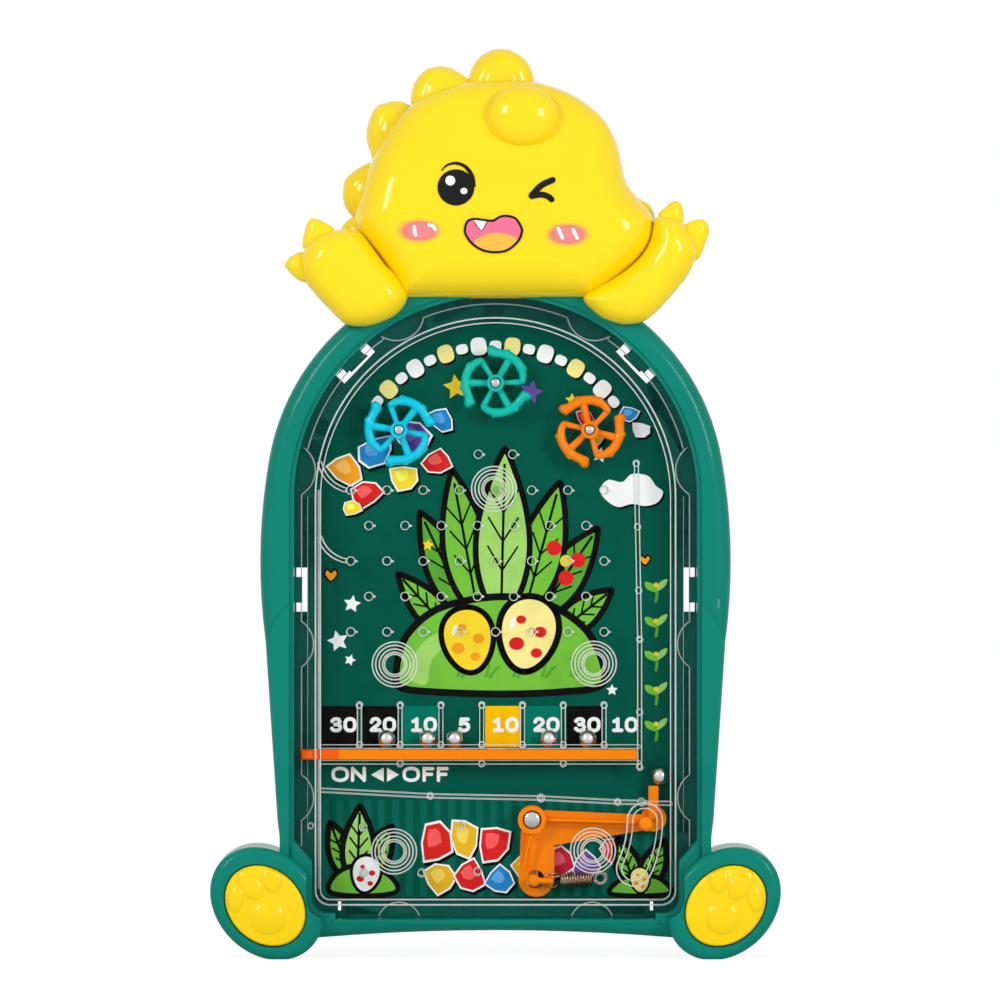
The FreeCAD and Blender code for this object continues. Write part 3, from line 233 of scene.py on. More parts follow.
def tube_skin(path, radii, sectors):
    """The skin of a round tube: each ring is the path's point plus the radius times a turning
    normal, carried along the path with the least twist."""
    path = np.asarray(path, float)
    along = directions(path, False)
    start = np.cross(along[0], (0.0, 1.0, 0.0))
    if np.linalg.norm(start) < 0.1:
        start = np.cross(along[0], (1.0, 0.0, 0.0))
    normals = [start / np.linalg.norm(start)]
    for tangent in along[1:]:
        n = normals[-1] - tangent * np.dot(normals[-1], tangent)
        normals.append(n / np.linalg.norm(n))
    normals = np.array(normals)
    binormals = np.cross(along, normals)
    t = full_turn(sectors)
    ring = (normals[:, None] * np.cos(t)[None, :, None]
            + binormals[:, None] * np.sin(t)[None, :, None])
    return closed_grid(path[:, None] + ring * np.asarray(radii, float)[:, None, None])


def ball_skin(centre, radii, rows, columns):
    """The skin of an ellipsoid: height is the cosine and width the sine of one angle."""
    a = np.linspace(0, np.pi, rows + 1)[1:-1]
    t = full_turn(columns)
    x = np.sin(a)[:, None] * np.cos(t)[None]
    z = np.sin(a)[:, None] * np.sin(t)[None]
    y = np.cos(a)[:, None] * np.ones(columns)[None]
    return closed_grid(np.asarray(centre)
                       + np.stack([x * radii[0], y * radii[1], z * radii[2]], -1))


# Materials

FLOW_WAVES, GLOSS_WAVES, SWELL_WAVES = 26.0, 310.0, 60.0
CLEAR_WAVES, SCUFF_WAVES, GRAIN_WAVES, CLOUD_WAVES = 220.0, 900.0, 2400.0, 22.0
SWELL_HEIGHT = 0.4 * MM


def parts_of(material):
    """A material's nodes and links, its shader and its output."""
    nodes = material.node_tree.nodes
    shader = next(n for n in nodes if n.type == "BSDF_PRINCIPLED")
    output = next(n for n in nodes if n.type == "OUTPUT_MATERIAL")
    return nodes, material.node_tree.links, shader, output


def new_material(name):
    """A new material, with its parts."""
    material = bpy.data.materials.new(name)
    material.use_nodes = True
    return (material, *parts_of(material))


def object_noise(nodes, links, scale, detail=3.0):
    """Noise that is fixed to the object, with so many waves to a metre."""
    place = nodes.new("ShaderNodeTexCoord")
    noise = nodes.new("ShaderNodeTexNoise")
    noise.inputs["Scale"].default_value = scale
    noise.inputs["Detail"].default_value = detail
    links.new(place.outputs["Object"], noise.inputs["Vector"])
    return noise.outputs["Fac"]


def ramp_between(nodes, links, value, low, high, first, second):
    """A colour that runs from the first to the second while the value goes from low to high."""
    ramp = nodes.new("ShaderNodeValToRGB")
    ramp.color_ramp.elements[0].position = low
    ramp.color_ramp.elements[0].color = (*first, 1.0)
    ramp.color_ramp.elements[1].position = high
    ramp.color_ramp.elements[1].color = (*second, 1.0)
    links.new(value, ramp.inputs["Fac"])
    return ramp.outputs["Color"]


def shade(colour, factor):
    """A colour times a factor, held at 1."""
    return tuple(min(1.0, c * factor) for c in colour)


def moulded_plastic(name, colour, roughness, coat, mottle, gloss=0.12):
    """Glossy moulded plastic: a faint flow mottle, finely waved gloss and a clear skin."""
    material, nodes, links, shader, _ = new_material(name)
    flow = object_noise(nodes, links, FLOW_WAVES)
    links.new(ramp_between(nodes, links, flow, 0.35, 0.7, shade(colour, mottle), colour),
              shader.inputs["Base Color"])
    fine = object_noise(nodes, links, GLOSS_WAVES)
    links.new(mapped(nodes, links, fine, 0.0, 1.0, roughness * 0.8, roughness * 1.25),
              shader.inputs["Roughness"])
    bump = nodes.new("ShaderNodeBump")
    bump.inputs["Strength"].default_value = 0.25
    bump.inputs["Distance"].default_value = SWELL_HEIGHT
    links.new(object_noise(nodes, links, SWELL_WAVES, 1.0), bump.inputs["Height"])
    links.new(bump.outputs["Normal"], shader.inputs["Normal"])
    shader.inputs["Specular IOR Level"].default_value = gloss
    shader.inputs["Coat Weight"].default_value = coat
    shader.inputs["Coat Roughness"].default_value = 0.03
    return material


def mapped(nodes, links, value, low, high, first, second):
    """A value that runs straight from the first to the second while another goes low to high."""
    share = nodes.new("ShaderNodeMapRange")
    share.inputs["From Min"].default_value = low
    share.inputs["From Max"].default_value = high
    share.inputs["To Min"].default_value = first
    share.inputs["To Max"].default_value = second
    links.new(value, share.inputs["Value"])
    return share.outputs["Result"]


def calculated(nodes, links, operation, first, second):
    """The result of a calculation; each input is a socket or a number."""
    node = nodes.new("ShaderNodeMath")
    node.operation = operation
    for value, socket in zip((first, second), node.inputs):
        if isinstance(value, float):
            socket.default_value = value
        else:
            links.new(value, socket)
    return node.outputs["Value"]


def object_parts(nodes, links):
    """The X, Y and Z of a place in the object."""
    place = nodes.new("ShaderNodeTexCoord")
    parts = nodes.new("ShaderNodeSeparateXYZ")
    links.new(place.outputs["Object"], parts.inputs["Vector"])
    return parts.outputs["X"], parts.outputs["Y"], parts.outputs["Z"]


def multiply_colour(material, factor):
    """Multiplies a material's base colour by another colour."""
    nodes, links, shader, _ = parts_of(material)
    product = nodes.new("ShaderNodeVectorMath")
    product.operation = "MULTIPLY"
    links.new(shader.inputs["Base Color"].links[0].from_socket, product.inputs[0])
    links.new(factor, product.inputs[1])
    links.new(product.outputs["Vector"], shader.inputs["Base Color"])


def paint_pocket_shade(material, deep, shallow, painted_shade):
    """Paints shade into the tray's colour inside its pocket: darker from the rim down to the
    floor.

    The pocket is where the distance from the axis below the arch's middle, and from the arch's
    middle above it, stays under the pocket's half width.
    """
    nodes, links, _, _ = parts_of(material)

    def work(operation, first, second=0.0):
        return calculated(nodes, links, operation, first, second)

    def fall(value, low, high):
        return mapped(nodes, links, value, float(low), float(high), 1.0, 0.0)

    x, y, z = object_parts(nodes, links)
    rise = work("MAXIMUM", work("SUBTRACT", z, ARCH_HEIGHT * MM))
    away = work("SQRT", work("ADD", work("MULTIPLY", x, x), work("MULTIPLY", rise, rise)))
    inside = fall(away, *POCKET_EDGE)
    above_skirt = mapped(nodes, links, z, *POCKET_SILL, 0.0, 1.0)
    in_front = fall(y, at_depth(deep), at_depth(deep - 0.4))
    depth = fall(y, at_depth(deep), at_depth(shallow))
    share = work("MULTIPLY", work("MULTIPLY", inside, above_skirt),
                 work("MULTIPLY", in_front, depth))
    multiply_colour(material, ramp_between(nodes, links, share, 0.0, 1.0, (1.0, 1.0, 1.0), painted_shade))


def paint_end_shade(material, place, painted_shade):
    """Paints shade on the end of a bar that lies left of a place, by multiplying its colour there
    by another.
    """
    nodes, links, _, _ = parts_of(material)
    x, _, _ = object_parts(nodes, links)
    share = mapped(nodes, links, x, place - 0.2 * MM, place + 0.2 * MM, 0.0, 1.0)
    multiply_colour(material, ramp_between(nodes, links, share, 0.0, 1.0, painted_shade, (1.0, 1.0, 1.0)))


def mix_surfaces(nodes, links, share, first, second, output):
    """Mixes two shaders into the surface: the share is how much of the second there is."""
    mix = nodes.new("ShaderNodeMixShader")
    links.new(share, mix.inputs["Fac"])
    links.new(first, mix.inputs[1])
    links.new(second, mix.inputs[2])
    links.new(mix.outputs["Shader"], output.inputs["Surface"])


def clear_plastic(name, face_on, edge_on, turning, tint=(0.86, 0.94, 0.93)):
    """Clear plastic: seen straight on it shows what is behind it, and where it turns away it
    gleams, because a thick clear wall gathers light in its edges."""
    material, nodes, links, shader, output = new_material(name)
    fine = object_noise(nodes, links, CLEAR_WAVES, 2.0)
    links.new(ramp_between(nodes, links, fine, 0.3, 0.7, shade(tint, 0.9), tint),
              shader.inputs["Base Color"])
    shader.inputs["Roughness"].default_value = 0.08
    through = nodes.new("ShaderNodeBsdfTransparent")
    through.inputs["Color"].default_value = (0.985, 0.99, 0.99, 1.0)
    turn = nodes.new("ShaderNodeLayerWeight")
    turn.inputs["Blend"].default_value = 0.5
    body = mapped(nodes, links, turn.outputs["Facing"], turning, 1.0, face_on, edge_on)
    mix_surfaces(nodes, links, body, through.outputs["BSDF"], shader.outputs["BSDF"], output)
    return material


def polished_steel(name, tint, roughness):
    """Bright steel with fine scuffs in its gloss."""
    material, nodes, links, shader, _ = new_material(name)
    shader.inputs["Base Color"].default_value = (*tint, 1.0)
    shader.inputs["Metallic"].default_value = 1.0
    scuff = object_noise(nodes, links, SCUFF_WAVES, 6.0)
    links.new(mapped(nodes, links, scuff, 0.0, 1.0, roughness * 0.6, roughness * 1.5),
              shader.inputs["Roughness"])
    return material


def mesh_value(nodes, name):
    """A node that reads a value stored in the mesh."""
    node = nodes.new("ShaderNodeAttribute")
    node.attribute_name = name
    return node


def printed(name, roughness, gloss):
    """Printed ink whose colour is in the mesh, with a faint halftone grain."""
    material, nodes, links, shader, _ = new_material(name)
    grain = object_noise(nodes, links, GRAIN_WAVES, 2.0)
    mix = nodes.new("ShaderNodeVectorMath")
    mix.operation = "SCALE"
    links.new(mesh_value(nodes, "ink").outputs["Color"], mix.inputs[0])
    links.new(mapped(nodes, links, grain, 0.0, 1.0, 0.93, 1.05), mix.inputs["Scale"])
    links.new(mix.outputs["Vector"], shader.inputs["Base Color"])
    shader.inputs["Roughness"].default_value = roughness
    shader.inputs["Specular IOR Level"].default_value = gloss
    return material


def dress(node, material):
    """Gives a node of the frame its material."""
    piece = NODES[node]
    piece.data.materials.clear()
    piece.data.materials.append(material)
    return piece


# Sizes and colours that a user would change

def colour_property(name, description, default):
    return bpy.props.FloatVectorProperty(name=name, description=description, default=default,
                                         size=3, min=0.0, max=1.0, subtype="COLOR")


def length_property(name, description, default):
    return bpy.props.FloatProperty(name=name, description=description, default=default,
                                   min=0.0, unit="LENGTH", precision=5)


class PlasticColours(bpy.types.PropertyGroup):
    tray: colour_property("Tray", "Colour of the tray", (0.0, 0.225, 0.172))
    head: colour_property("Head", "Colour of the head and arms", (1.0, 0.735, 0.004))
    pads: colour_property("Paw pads", "Colour of the paw pads", (1.0, 0.69, 0.0))
    levers: colour_property("Levers", "Colour of the gate bar and launcher", (1.0, 0.245, 0.0))
    left_wheel: colour_property("Left wheel", "Colour of the left wheel", (0.0, 0.60, 0.80))
    top_wheel: colour_property("Top wheel", "Colour of the top wheel", (0.0, 0.52, 0.42))
    right_wheel: colour_property("Right wheel", "Colour of the right wheel", (1.0, 0.24, 0.0))


class HeadShape(bpy.types.PropertyGroup):
    edge: length_property("Edge", "How far in the head's edge is rounded", 0.0125)
    parting: length_property("Parting", "Depth of the widest outline", 0.017)
    front: length_property("Front", "Depth of the face", 0.0352)
    swell: length_property("Swell", "How far the face swells out in its middle", 0.0030)
    brow: length_property("Brow", "How far the face falls back towards the horn", 0.0048)


class WheelSizes(bpy.types.PropertyGroup):
    ring_radius: length_property("Ring radius", "Radius of the vanes", 0.0098)
    tube_radius: length_property("Tube radius", "Radius of a vane's round section", 0.00148)
    knob_radius: length_property("Knob radius", "Radius of the knob at a vane's end", 0.00192)
    spoke_radius: length_property("Spoke radius", "Radius of a spoke", 0.00105)


class SpringSizes(bpy.types.PropertyGroup):
    wire: length_property("Wire", "Diameter of the wire", 0.0005)
    coil_radius: length_property("Coil radius", "Radius of the coil's centre line", 0.0023)
    turns: bpy.props.IntProperty(name="Turns", description="Turns of the coil", default=12, min=1)


class StageSettings(bpy.types.PropertyGroup):
    lamp: bpy.props.FloatProperty(name="Lamp", description="Strength of the two side lamps",
                                  default=6.6, min=0.0)
    sky: bpy.props.FloatProperty(name="Sky", description="Strength of the light all round",
                                 default=0.5, min=0.0)
    distance: length_property("Distance", "From the camera to the toy", 2.1)


# Head

HEAD_OUTLINE = (
    (402, 298), (391, 276), (377.6, 256), (362, 236), (356, 218), (361, 196), (372, 162),
    (393, 126), (415.8, 103), (441, 90.6), (470, 83), (505, 80.5), (529, 81.5), (549, 86),
    (572, 95), (594, 110), (608, 126), (617, 145), (622, 166), (627, 184), (639, 200),
    (651, 215), (655, 230), (650, 247), (636, 264), (613, 283), (592, 298))
HEAD_MIDDLE = (503, 205)
EDGE_POWER = 9.0
HEAD_COVER = 1.0035
HEAD_RIM = ((0.00045, 1.0), (0.00085, 1.0), (0.0009, 0.999), (0.0009, 0.98))
BROW_ROWS = (225, 105)
HORN = ((522.6, 118.6), (0.01147, 0.0066, 0.0099), 29.3)
CREST = (((468, 84), (471, 70), (478, 60), (489, 51), (501.7, 47), (515, 50.5), (526, 58.5),
          (532.5, 70), (534, 84), (520, 100), (484, 100)),
         ((410.5, 101), (413, 85), (419, 73.5), (428, 66.5), (440, 64.7), (452, 67.5), (463, 73),
          (470, 80), (476, 92), (450, 106), (424, 118)),
         ((374, 163), (369, 146), (367.3, 128), (371, 112), (378, 103.5), (388, 101), (399, 102),
          (411, 105), (418, 114), (404, 134), (386, 160)),
         ((358, 219), (348, 205), (343, 192), (343.5, 180), (350, 172), (361, 164.5),
          (374, 160.5), (384, 172), (376, 196), (368, 214)),
         ((339, 231), (344, 225.5), (350, 221), (358, 216.5), (370, 222), (366, 240), (350, 242)),
         ((636, 200), (645, 200.5), (652, 207), (654.5, 219), (650, 232), (636, 232)))
CREST_MIDDLES = ((501, 82), (443, 92), (390, 130), (364, 190), (356, 230), (643, 216))
CREST_DEPTHS = (8.2, 16.2, 0.4)
CREST_LAST_DEPTHS = (11.2, 16.2, 6.4)
CREST_ROUNDING = (0.0062, 0.0016)
ARM_DEPTHS = (23.0, 34.3, 16.2)
ARM_ROUNDING = (0.0085, 0.002)
CLAW_DEPTHS = (23.0, 27.1, 18.9)
CLAW_ROUNDING = (0.0042, 0.0008)
LEFT_ARM = ((341.4, 230), (360, 233), (371, 245), (385, 264), (401, 281), (408, 297),
            (398, 313.7), (378.2, 323.9), (359.8, 326.9), (344.5, 323.9), (331.2, 311.6),
            (315.9, 295.3), (302.7, 276), (303.2, 253.5), (315.9, 237.1))
LEFT_ARM_MIDDLE = (352, 280)
RIGHT_ARM = ((583, 299), (595, 288), (611, 280), (627, 269), (641, 255.5), (649, 242),
             (652, 230), (656, 218), (672, 218.3), (683.3, 223.9), (692.4, 237.1), (697, 251.4),
             (689.4, 272.9), (677.1, 289.2), (664.9, 303.5), (653.7, 314.7), (642.4, 322.3),
             (625.1, 324.9), (607.8, 320.8), (594.5, 312.7))
RIGHT_ARM_MIDDLE = (651, 279)
LEFT_CLAWS = (((305, 250), (305.2, 231), (310.8, 219.8), (319, 220.3), (334.3, 229.5),
               (335, 246)),
              ((303.2, 252.4), (292.4, 256.5), (285.5, 264.7), (288.4, 270.8), (301.6, 282),
               (318, 280), (318, 256)))
RIGHT_CLAWS = (((657.8, 216.2), (664.9, 207.6), (672, 202.4), (678.2, 202.4), (682.5, 209),
                (682.8, 226), (676, 240), (662, 234)),
               ((684.3, 224.9), (701.6, 219.8), (708.8, 229), (705.7, 242.2), (697.6, 259.6),
                (684, 258), (676, 240)))


def edge_distance(points, outline):
    """A smooth distance from points to an outline: the mean of distance to the minus power,
    to the minus one over that power, so that it has no creases in the middle.

    The distances are counted in units of 10 mm, and the mean is set so that an outline of 30
    points keeps it as it is.
    """
    gap = np.maximum(np.linalg.norm(points[:, None, :] - outline[None], axis=2), 1e-6)
    mean = np.mean((gap / 0.01) ** -EDGE_POWER, axis=1)
    return 0.01 * mean ** (-1 / EDGE_POWER) * (len(outline) / 30) ** (-1 / EDGE_POWER)


def rounded_rise(distance, edge):
    """A quarter circle: 0 at the edge, 1 from the edge width inwards."""
    t = np.clip(distance / edge, 0, 1)
    return np.sqrt(1 - (1 - t) ** 2)


def cushion_height(points, outline, edge, swell, reach):
    """How far a cushion stands over its outline: the rounded edge plus a broad swell."""
    d = edge_distance(points, outline)
    broad = 1 - np.exp(-(d / 0.02) ** 1.5)
    return (reach - swell) * rounded_rise(d, edge) + swell * broad


def cushion_grid(outline, middle, rings, spread=2.2):
    """Flat points over an outline: each ring is the outline drawn in towards the middle."""
    share = np.linspace(0, 1, rings, endpoint=False) ** spread
    return outline[None] + (middle - outline)[None] * share[:, None, None]


def cushion(name, pixels, middle, depths, rounding, material, count=220, rings=42):
    """A closed cushion over an outline, with a front and a back face.

    The depths are those of its outline, its front and its back, in mm. The rounding is the
    width of its edge and how far its middle swells out, in metres.
    """
    parting, front, back = depths
    edge, swell = rounding
    outline = catmull(at_pixels(pixels), count, True)
    flat = cushion_grid(outline, at_pixels(middle), rings)
    flat_points = flat.reshape(-1, 2)
    halves = []
    for end in (front, back):
        reach = abs(end - parting) * MM
        rise = cushion_height(flat_points, outline, min(edge, reach * 1.6), min(swell, reach / 4),
                              reach)
        rise[:count] = 0
        depth = parting + math.copysign(1, end - parting) * rise / MM
        halves.append(np.stack([flat_points[:, 0], at_depth(depth), flat_points[:, 1]], -1)
                      .reshape(rings, count, 3))
    rows = np.concatenate([halves[0][::-1], halves[1][1:]])
    return skin_mesh(name, [closed_grid(rows)], material)


def head_outline():
    """The head's outline: a smooth curve above, and a straight edge along the seat."""
    curve = catmull(at_pixels(HEAD_OUTLINE), 300, False)
    return np.concatenate([curve, np.linspace(curve[-1], curve[0], 60)[1:-1]])


def face_depth(x, z, shape):
    """Depth of the face at places given by X and Z, in metres from the back plane."""
    points = np.stack([np.ravel(x), np.ravel(z)], -1)
    rows = np.array([pz(BROW_ROWS[0]), pz(BROW_ROWS[1])])
    up = np.clip((points[:, 1] - rows[0]) / (rows[1] - rows[0]), 0, 1)
    reach = shape.front - shape.parting - shape.brow * up * up * (3 - 2 * up)
    rise = cushion_height(points, head_outline(), shape.edge, shape.swell, reach)
    return (shape.parting + rise).reshape(np.shape(x))


class TOY_OT_head(bpy.types.Operator):
    """Builds the head's skin, its horn and the plates along its edge"""
    bl_idname = "toy.head"
    bl_label = "Head"

    def execute(self, context):
        shape = context.scene.toy_head
        skin = moulded_plastic("head_plastic", context.scene.toy_plastics.head, 0.16, 0.4, 0.97)
        outline = head_outline()
        flat = cushion_grid(outline, at_pixels(HEAD_MIDDLE), 70)
        x, z = flat[..., 0], flat[..., 1]
        depth = face_depth(x, z, shape)
        depth[0] = shape.parting
        middle = np.array((float(px(HEAD_MIDDLE[0])), 0.0, float(pz(HEAD_MIDDLE[1]))))
        front = (np.stack([x, BACK_Y - depth, z], -1) - middle) * (HEAD_COVER, 1.0, HEAD_COVER)
        rims = [front[0] * (share, 1.0, share) + (0.0, back, 0.0) for back, share in HEAD_RIM]
        rows = np.concatenate([front[::-1], rims]) + middle
        head = skin_mesh("head_face", [closed_grid(rows)], skin)
        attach(head, HOUSING)
        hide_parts("head_front_shell")
        (x, y), radii, depth = HORN
        horn = ball_skin((px(x), at_depth(depth), pz(y)), radii, 48, 96)
        pieces = [skin_mesh("head_horn", [horn], skin)]
        for i, (plate, middle) in enumerate(zip(CREST, CREST_MIDDLES)):
            depths = CREST_LAST_DEPTHS if i > 3 else CREST_DEPTHS
            pieces.append(cushion(f"crest_plate_{i + 1}", plate, middle, depths, CREST_ROUNDING,
                                  skin, 120, 28))
        for piece in pieces:
            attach(piece, HOUSING)
        dress("head_rear_shell", skin)
        return {"FINISHED"}


class TOY_OT_arms(bpy.types.Operator):
    """Builds the two arms and their claws"""
    bl_idname = "toy.arms"
    bl_label = "Arms"

    def execute(self, context):
        skin = moulded_plastic("arm_plastic", context.scene.toy_plastics.head, 0.16, 0.4, 0.97)
        for word, pixels, middle, claws in (("left", LEFT_ARM, LEFT_ARM_MIDDLE, LEFT_CLAWS),
                                            ("right", RIGHT_ARM, RIGHT_ARM_MIDDLE, RIGHT_CLAWS)):
            arm = cushion(f"{word}_arm_skin", pixels, middle, ARM_DEPTHS, ARM_ROUNDING, skin)
            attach(arm, HOUSING)
            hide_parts(f"{word}_arm")
            for i, claw in enumerate(claws):
                nail = cushion(f"{word}_claw_{i + 1}", claw, np.mean(claw, axis=0), CLAW_DEPTHS,
                               CLAW_ROUNDING, skin, 96, 24)
                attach(nail, HOUSING)
        dress("left_arm", skin)
        dress("right_arm", skin)
        return {"FINISHED"}


# Face print

BLACK = (0.004, 0.004, 0.004)
WHITE = (0.98, 0.98, 0.98)
PINK = (0.88, 0.24, 0.27)
FACE_LEVELS = (0.10 * MM, 0.02 * MM)


class PrintSheet:
    """Collects flat shapes in pixels; each lies a little in front of the one before."""

    def __init__(self, first, step):
        self.points, self.levels, self.colours, self.fades, self.faces = [], [], [], [], []
        self.total, self.level, self.step = 0, first, step

    def add(self, points, faces, colour, fade=None, lift=1):
        self.level += self.step * lift
        n = len(points)
        self.points.append(np.asarray(points, float))
        self.levels.append(np.full(n, self.level))
        self.colours.append(np.tile(np.array([*colour, 1.0]), (n, 1)))
        self.fades.append(np.ones(n) if fade is None else fade)
        self.faces += [tuple(int(i) + self.total for i in f) for f in faces]
        self.total += n

    def fill(self, boundary, colour, lift=1):
        self.add(boundary, [range(len(boundary))], colour, None, lift)

    def dot(self, x, y, radius, colour, count, lift=1):
        self.fill(ellipse(x, y, radius, radius, count), colour, lift)

    def blob(self, points, colour, count=90, lift=1):
        self.fill(catmull(points, count, True), colour, lift)

    def band(self, path, widths, colour, closed=False, lift=1):
        """A band along a path of points, with a half width at each."""
        widths = np.broadcast_to(np.asarray(widths, float), (len(path),))
        left, right = sides(np.asarray(path, float), widths, closed)
        n = len(path)
        faces = grid_faces(2, n, False, closed)
        self.add(np.concatenate([left, right]), faces, colour, None, lift)

    def line(self, points, half_width, colour, count=40, closed=False, lift=1):
        """A line through points with round ends."""
        path = catmull(points, count, closed)
        self.band(path, half_width, colour, closed, lift)
        if not closed:
            for end in (path[0], path[-1]):
                self.dot(*end, half_width, colour, 20, 0.1)

    def outlined(self, points, colour, edge, sharp=False):
        """A filled shape with a dark line round it."""
        curve = np.asarray(points, float) if sharp else catmull(points, 120, True)
        self.fill(curve, colour)
        self.band(curve, edge, BLACK, True)
        if sharp:
            for corner in curve:
                self.dot(*corner, edge, BLACK, 16, 0.02)

    def patch(self, boundary, colour, rings=8, soft=False, lift=1):
        """A shape with rings inside, so that it can follow a curved face."""
        grid = cushion_grid(boundary, boundary.mean(0), rings, 1.0)
        n = len(boundary)
        points = np.concatenate([grid.reshape(-1, 2), boundary.mean(0)[None]])
        faces = [tuple(f) for f in grid_faces(rings, n, False, True)]
        c = np.arange(n)
        faces += list(zip((rings - 1) * n + c, (rings - 1) * n + (c + 1) % n,
                          np.full(n, rings * n)))
        fade = None
        if soft:
            share = np.append(np.repeat(np.linspace(0, 1, rings, endpoint=False), n), 1.0)
            fade = np.clip(share * 1.9, 0, 1) ** 1.3
        self.add(points, faces, colour, fade, lift)

    def build(self, name, depth_of, material):
        """Puts the shapes at a depth that may depend on their place, on the line of sight."""
        flat = at_pixels(np.concatenate(self.points))
        axis = np.array((float(px(IMAGE_CENTRE[0])), float(pz(IMAGE_CENTRE[1]))))
        distance = bpy.context.scene.toy_stage.distance
        near = BACK_Y - depth_of(flat[:, 0], flat[:, 1])
        flat = axis + (flat - axis) * (1 + near / distance)[:, None]
        depth = depth_of(flat[:, 0], flat[:, 1]) + np.concatenate(self.levels)
        vertices = np.stack([flat[:, 0], BACK_Y - depth, flat[:, 1]], -1)
        return make_object(name, vertices, self.faces, material,
                           {"ink": np.concatenate(self.colours),
                            "fade": np.concatenate(self.fades)})


def face_shapes():
    """The face: a round eye, a winking eye, an open mouth and two blushes."""
    sheet = PrintSheet(*FACE_LEVELS)
    for x, y in ((419.2, 230.8), (567.6, 234.5)):
        sheet.patch(ellipse(x, y, 24.6, 13.4, 64), PINK, 12, True)
    for points in (((414.3, 226.9), (414.6, 231), (415.6, 234.7)),
                   ((428.9, 224.9), (433, 226.3), (435.3, 229.6)),
                   ((558.3, 228.8), (560.4, 233.4), (562.4, 237.8)),
                   ((573.2, 229.9), (575.2, 234), (577.3, 238))):
        sheet.line(points, 1.75, WHITE, 14)
    sheet.patch(ellipse(455.9, 187.4, 18.4, 18.1, 72), BLACK, 12)
    lid = catmull(((441.3, 171.0), (446.5, 165.6), (454.5, 163.2), (462.5, 165.0),
                   (468.5, 170.0), (472.3, 177.5), (473.3, 187.0)), 40, False)
    sheet.band(lid, 0.4 + 2.1 * np.linspace(0, 1, 40) ** 0.7, BLACK)
    sheet.patch(ellipse(450.3, 180.6, 4.9, 4.9, 32), WHITE, 3)
    sheet.patch(ellipse(463.9, 191, 3.5, 3.1, 28), WHITE, 3)
    sheet.line(((552.6, 180.0), (541.5, 185.4), (531.6, 195.4)), 3.1, BLACK, 24)
    sheet.line(((531.8, 196.2), (541.0, 194.6), (547.6, 196.2), (551.6, 199.4)), 2.9, BLACK, 24)
    mouth = catmull(((464.9, 229.8), (467.5, 221.5), (474, 219), (483, 219.9), (493, 220.8),
                     (499, 217.3), (506.3, 215.9), (515.5, 218.6), (521.4, 227.8),
                     (521.4, 233.9), (517.4, 242), (507.2, 250.2), (495, 252.2),
                     (482.8, 250.2), (472.6, 244), (466.5, 236)), 96, True)
    sheet.patch(mouth, (0.93, 0.17, 0.30), 10)
    tongue = catmull(((474, 242.5), (482.8, 236), (495, 232.8), (509.3, 234.9), (517.2, 239.5),
                      (514, 245.5), (506, 250), (495, 251.4), (483.5, 249.6)), 72, True)
    sheet.patch(tongue, (0.91, 0.50, 0.07), 8)
    fang = np.array(((473.7, 220.0), (480.5, 220.6), (487.4, 221.0), (484.8, 226.0),
                     (481.8, 230.8), (477.2, 226.5)))
    sheet.patch(fang, WHITE, 3)
    sheet.band(np.array(((474.2, 221.5), (477.2, 226.5), (481.8, 231.2), (484.8, 226.2),
                         (487.2, 221.5))), 0.45, BLACK)
    sheet.band(mouth, 1.15, BLACK, True)
    return sheet


def face_ink(name):
    """Ink on the face, which thins out to nothing where its fade goes to 0."""
    material = printed(name, 0.2, 0.2)
    nodes, links, shader, output = parts_of(material)
    clear = nodes.new("ShaderNodeBsdfTransparent")
    mix_surfaces(nodes, links, mesh_value(nodes, "fade").outputs["Fac"],
                 clear.outputs["BSDF"], shader.outputs["BSDF"], output)
    return material


class TOY_OT_face(bpy.types.Operator):
    """Prints the face on the front of the head"""
    bl_idname = "toy.face"
    bl_label = "Face print"

    def execute(self, context):
        shape = context.scene.toy_head
        face = face_shapes().build("face_print", lambda x, z: face_depth(x, z, shape),
                                   face_ink("face_ink"))
        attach(face, HOUSING)
        return {"FINISHED"}


# Printed card

LIME = (0.19, 0.55, 0.05)
LIME_DARK = (0.11, 0.40, 0.035)
LIME_LIGHT = (0.38, 0.70, 0.16)
SUN = (0.98, 0.70, 0.03)
SUN_LIGHT = (1.0, 0.86, 0.30)
DEEP_GREEN = (0.0, 0.097, 0.064)
STRIPE_GREEN = (0.002, 0.135, 0.098)
BOX_GREEN = (0.0, 0.188, 0.128)
BOX_YELLOW = (1.0, 0.56, 0.0)
RED = (0.75, 0.02, 0.02)
BLUE = (0.02, 0.25, 0.62)
PURPLE = (0.18, 0.08, 0.42)
AMBER = (0.95, 0.35, 0.02)
OCHRE = (0.9, 0.5, 0.02)
WINE = (0.55, 0.02, 0.05)
CARD_LEVELS = (0.01 * MM, 0.003 * MM)

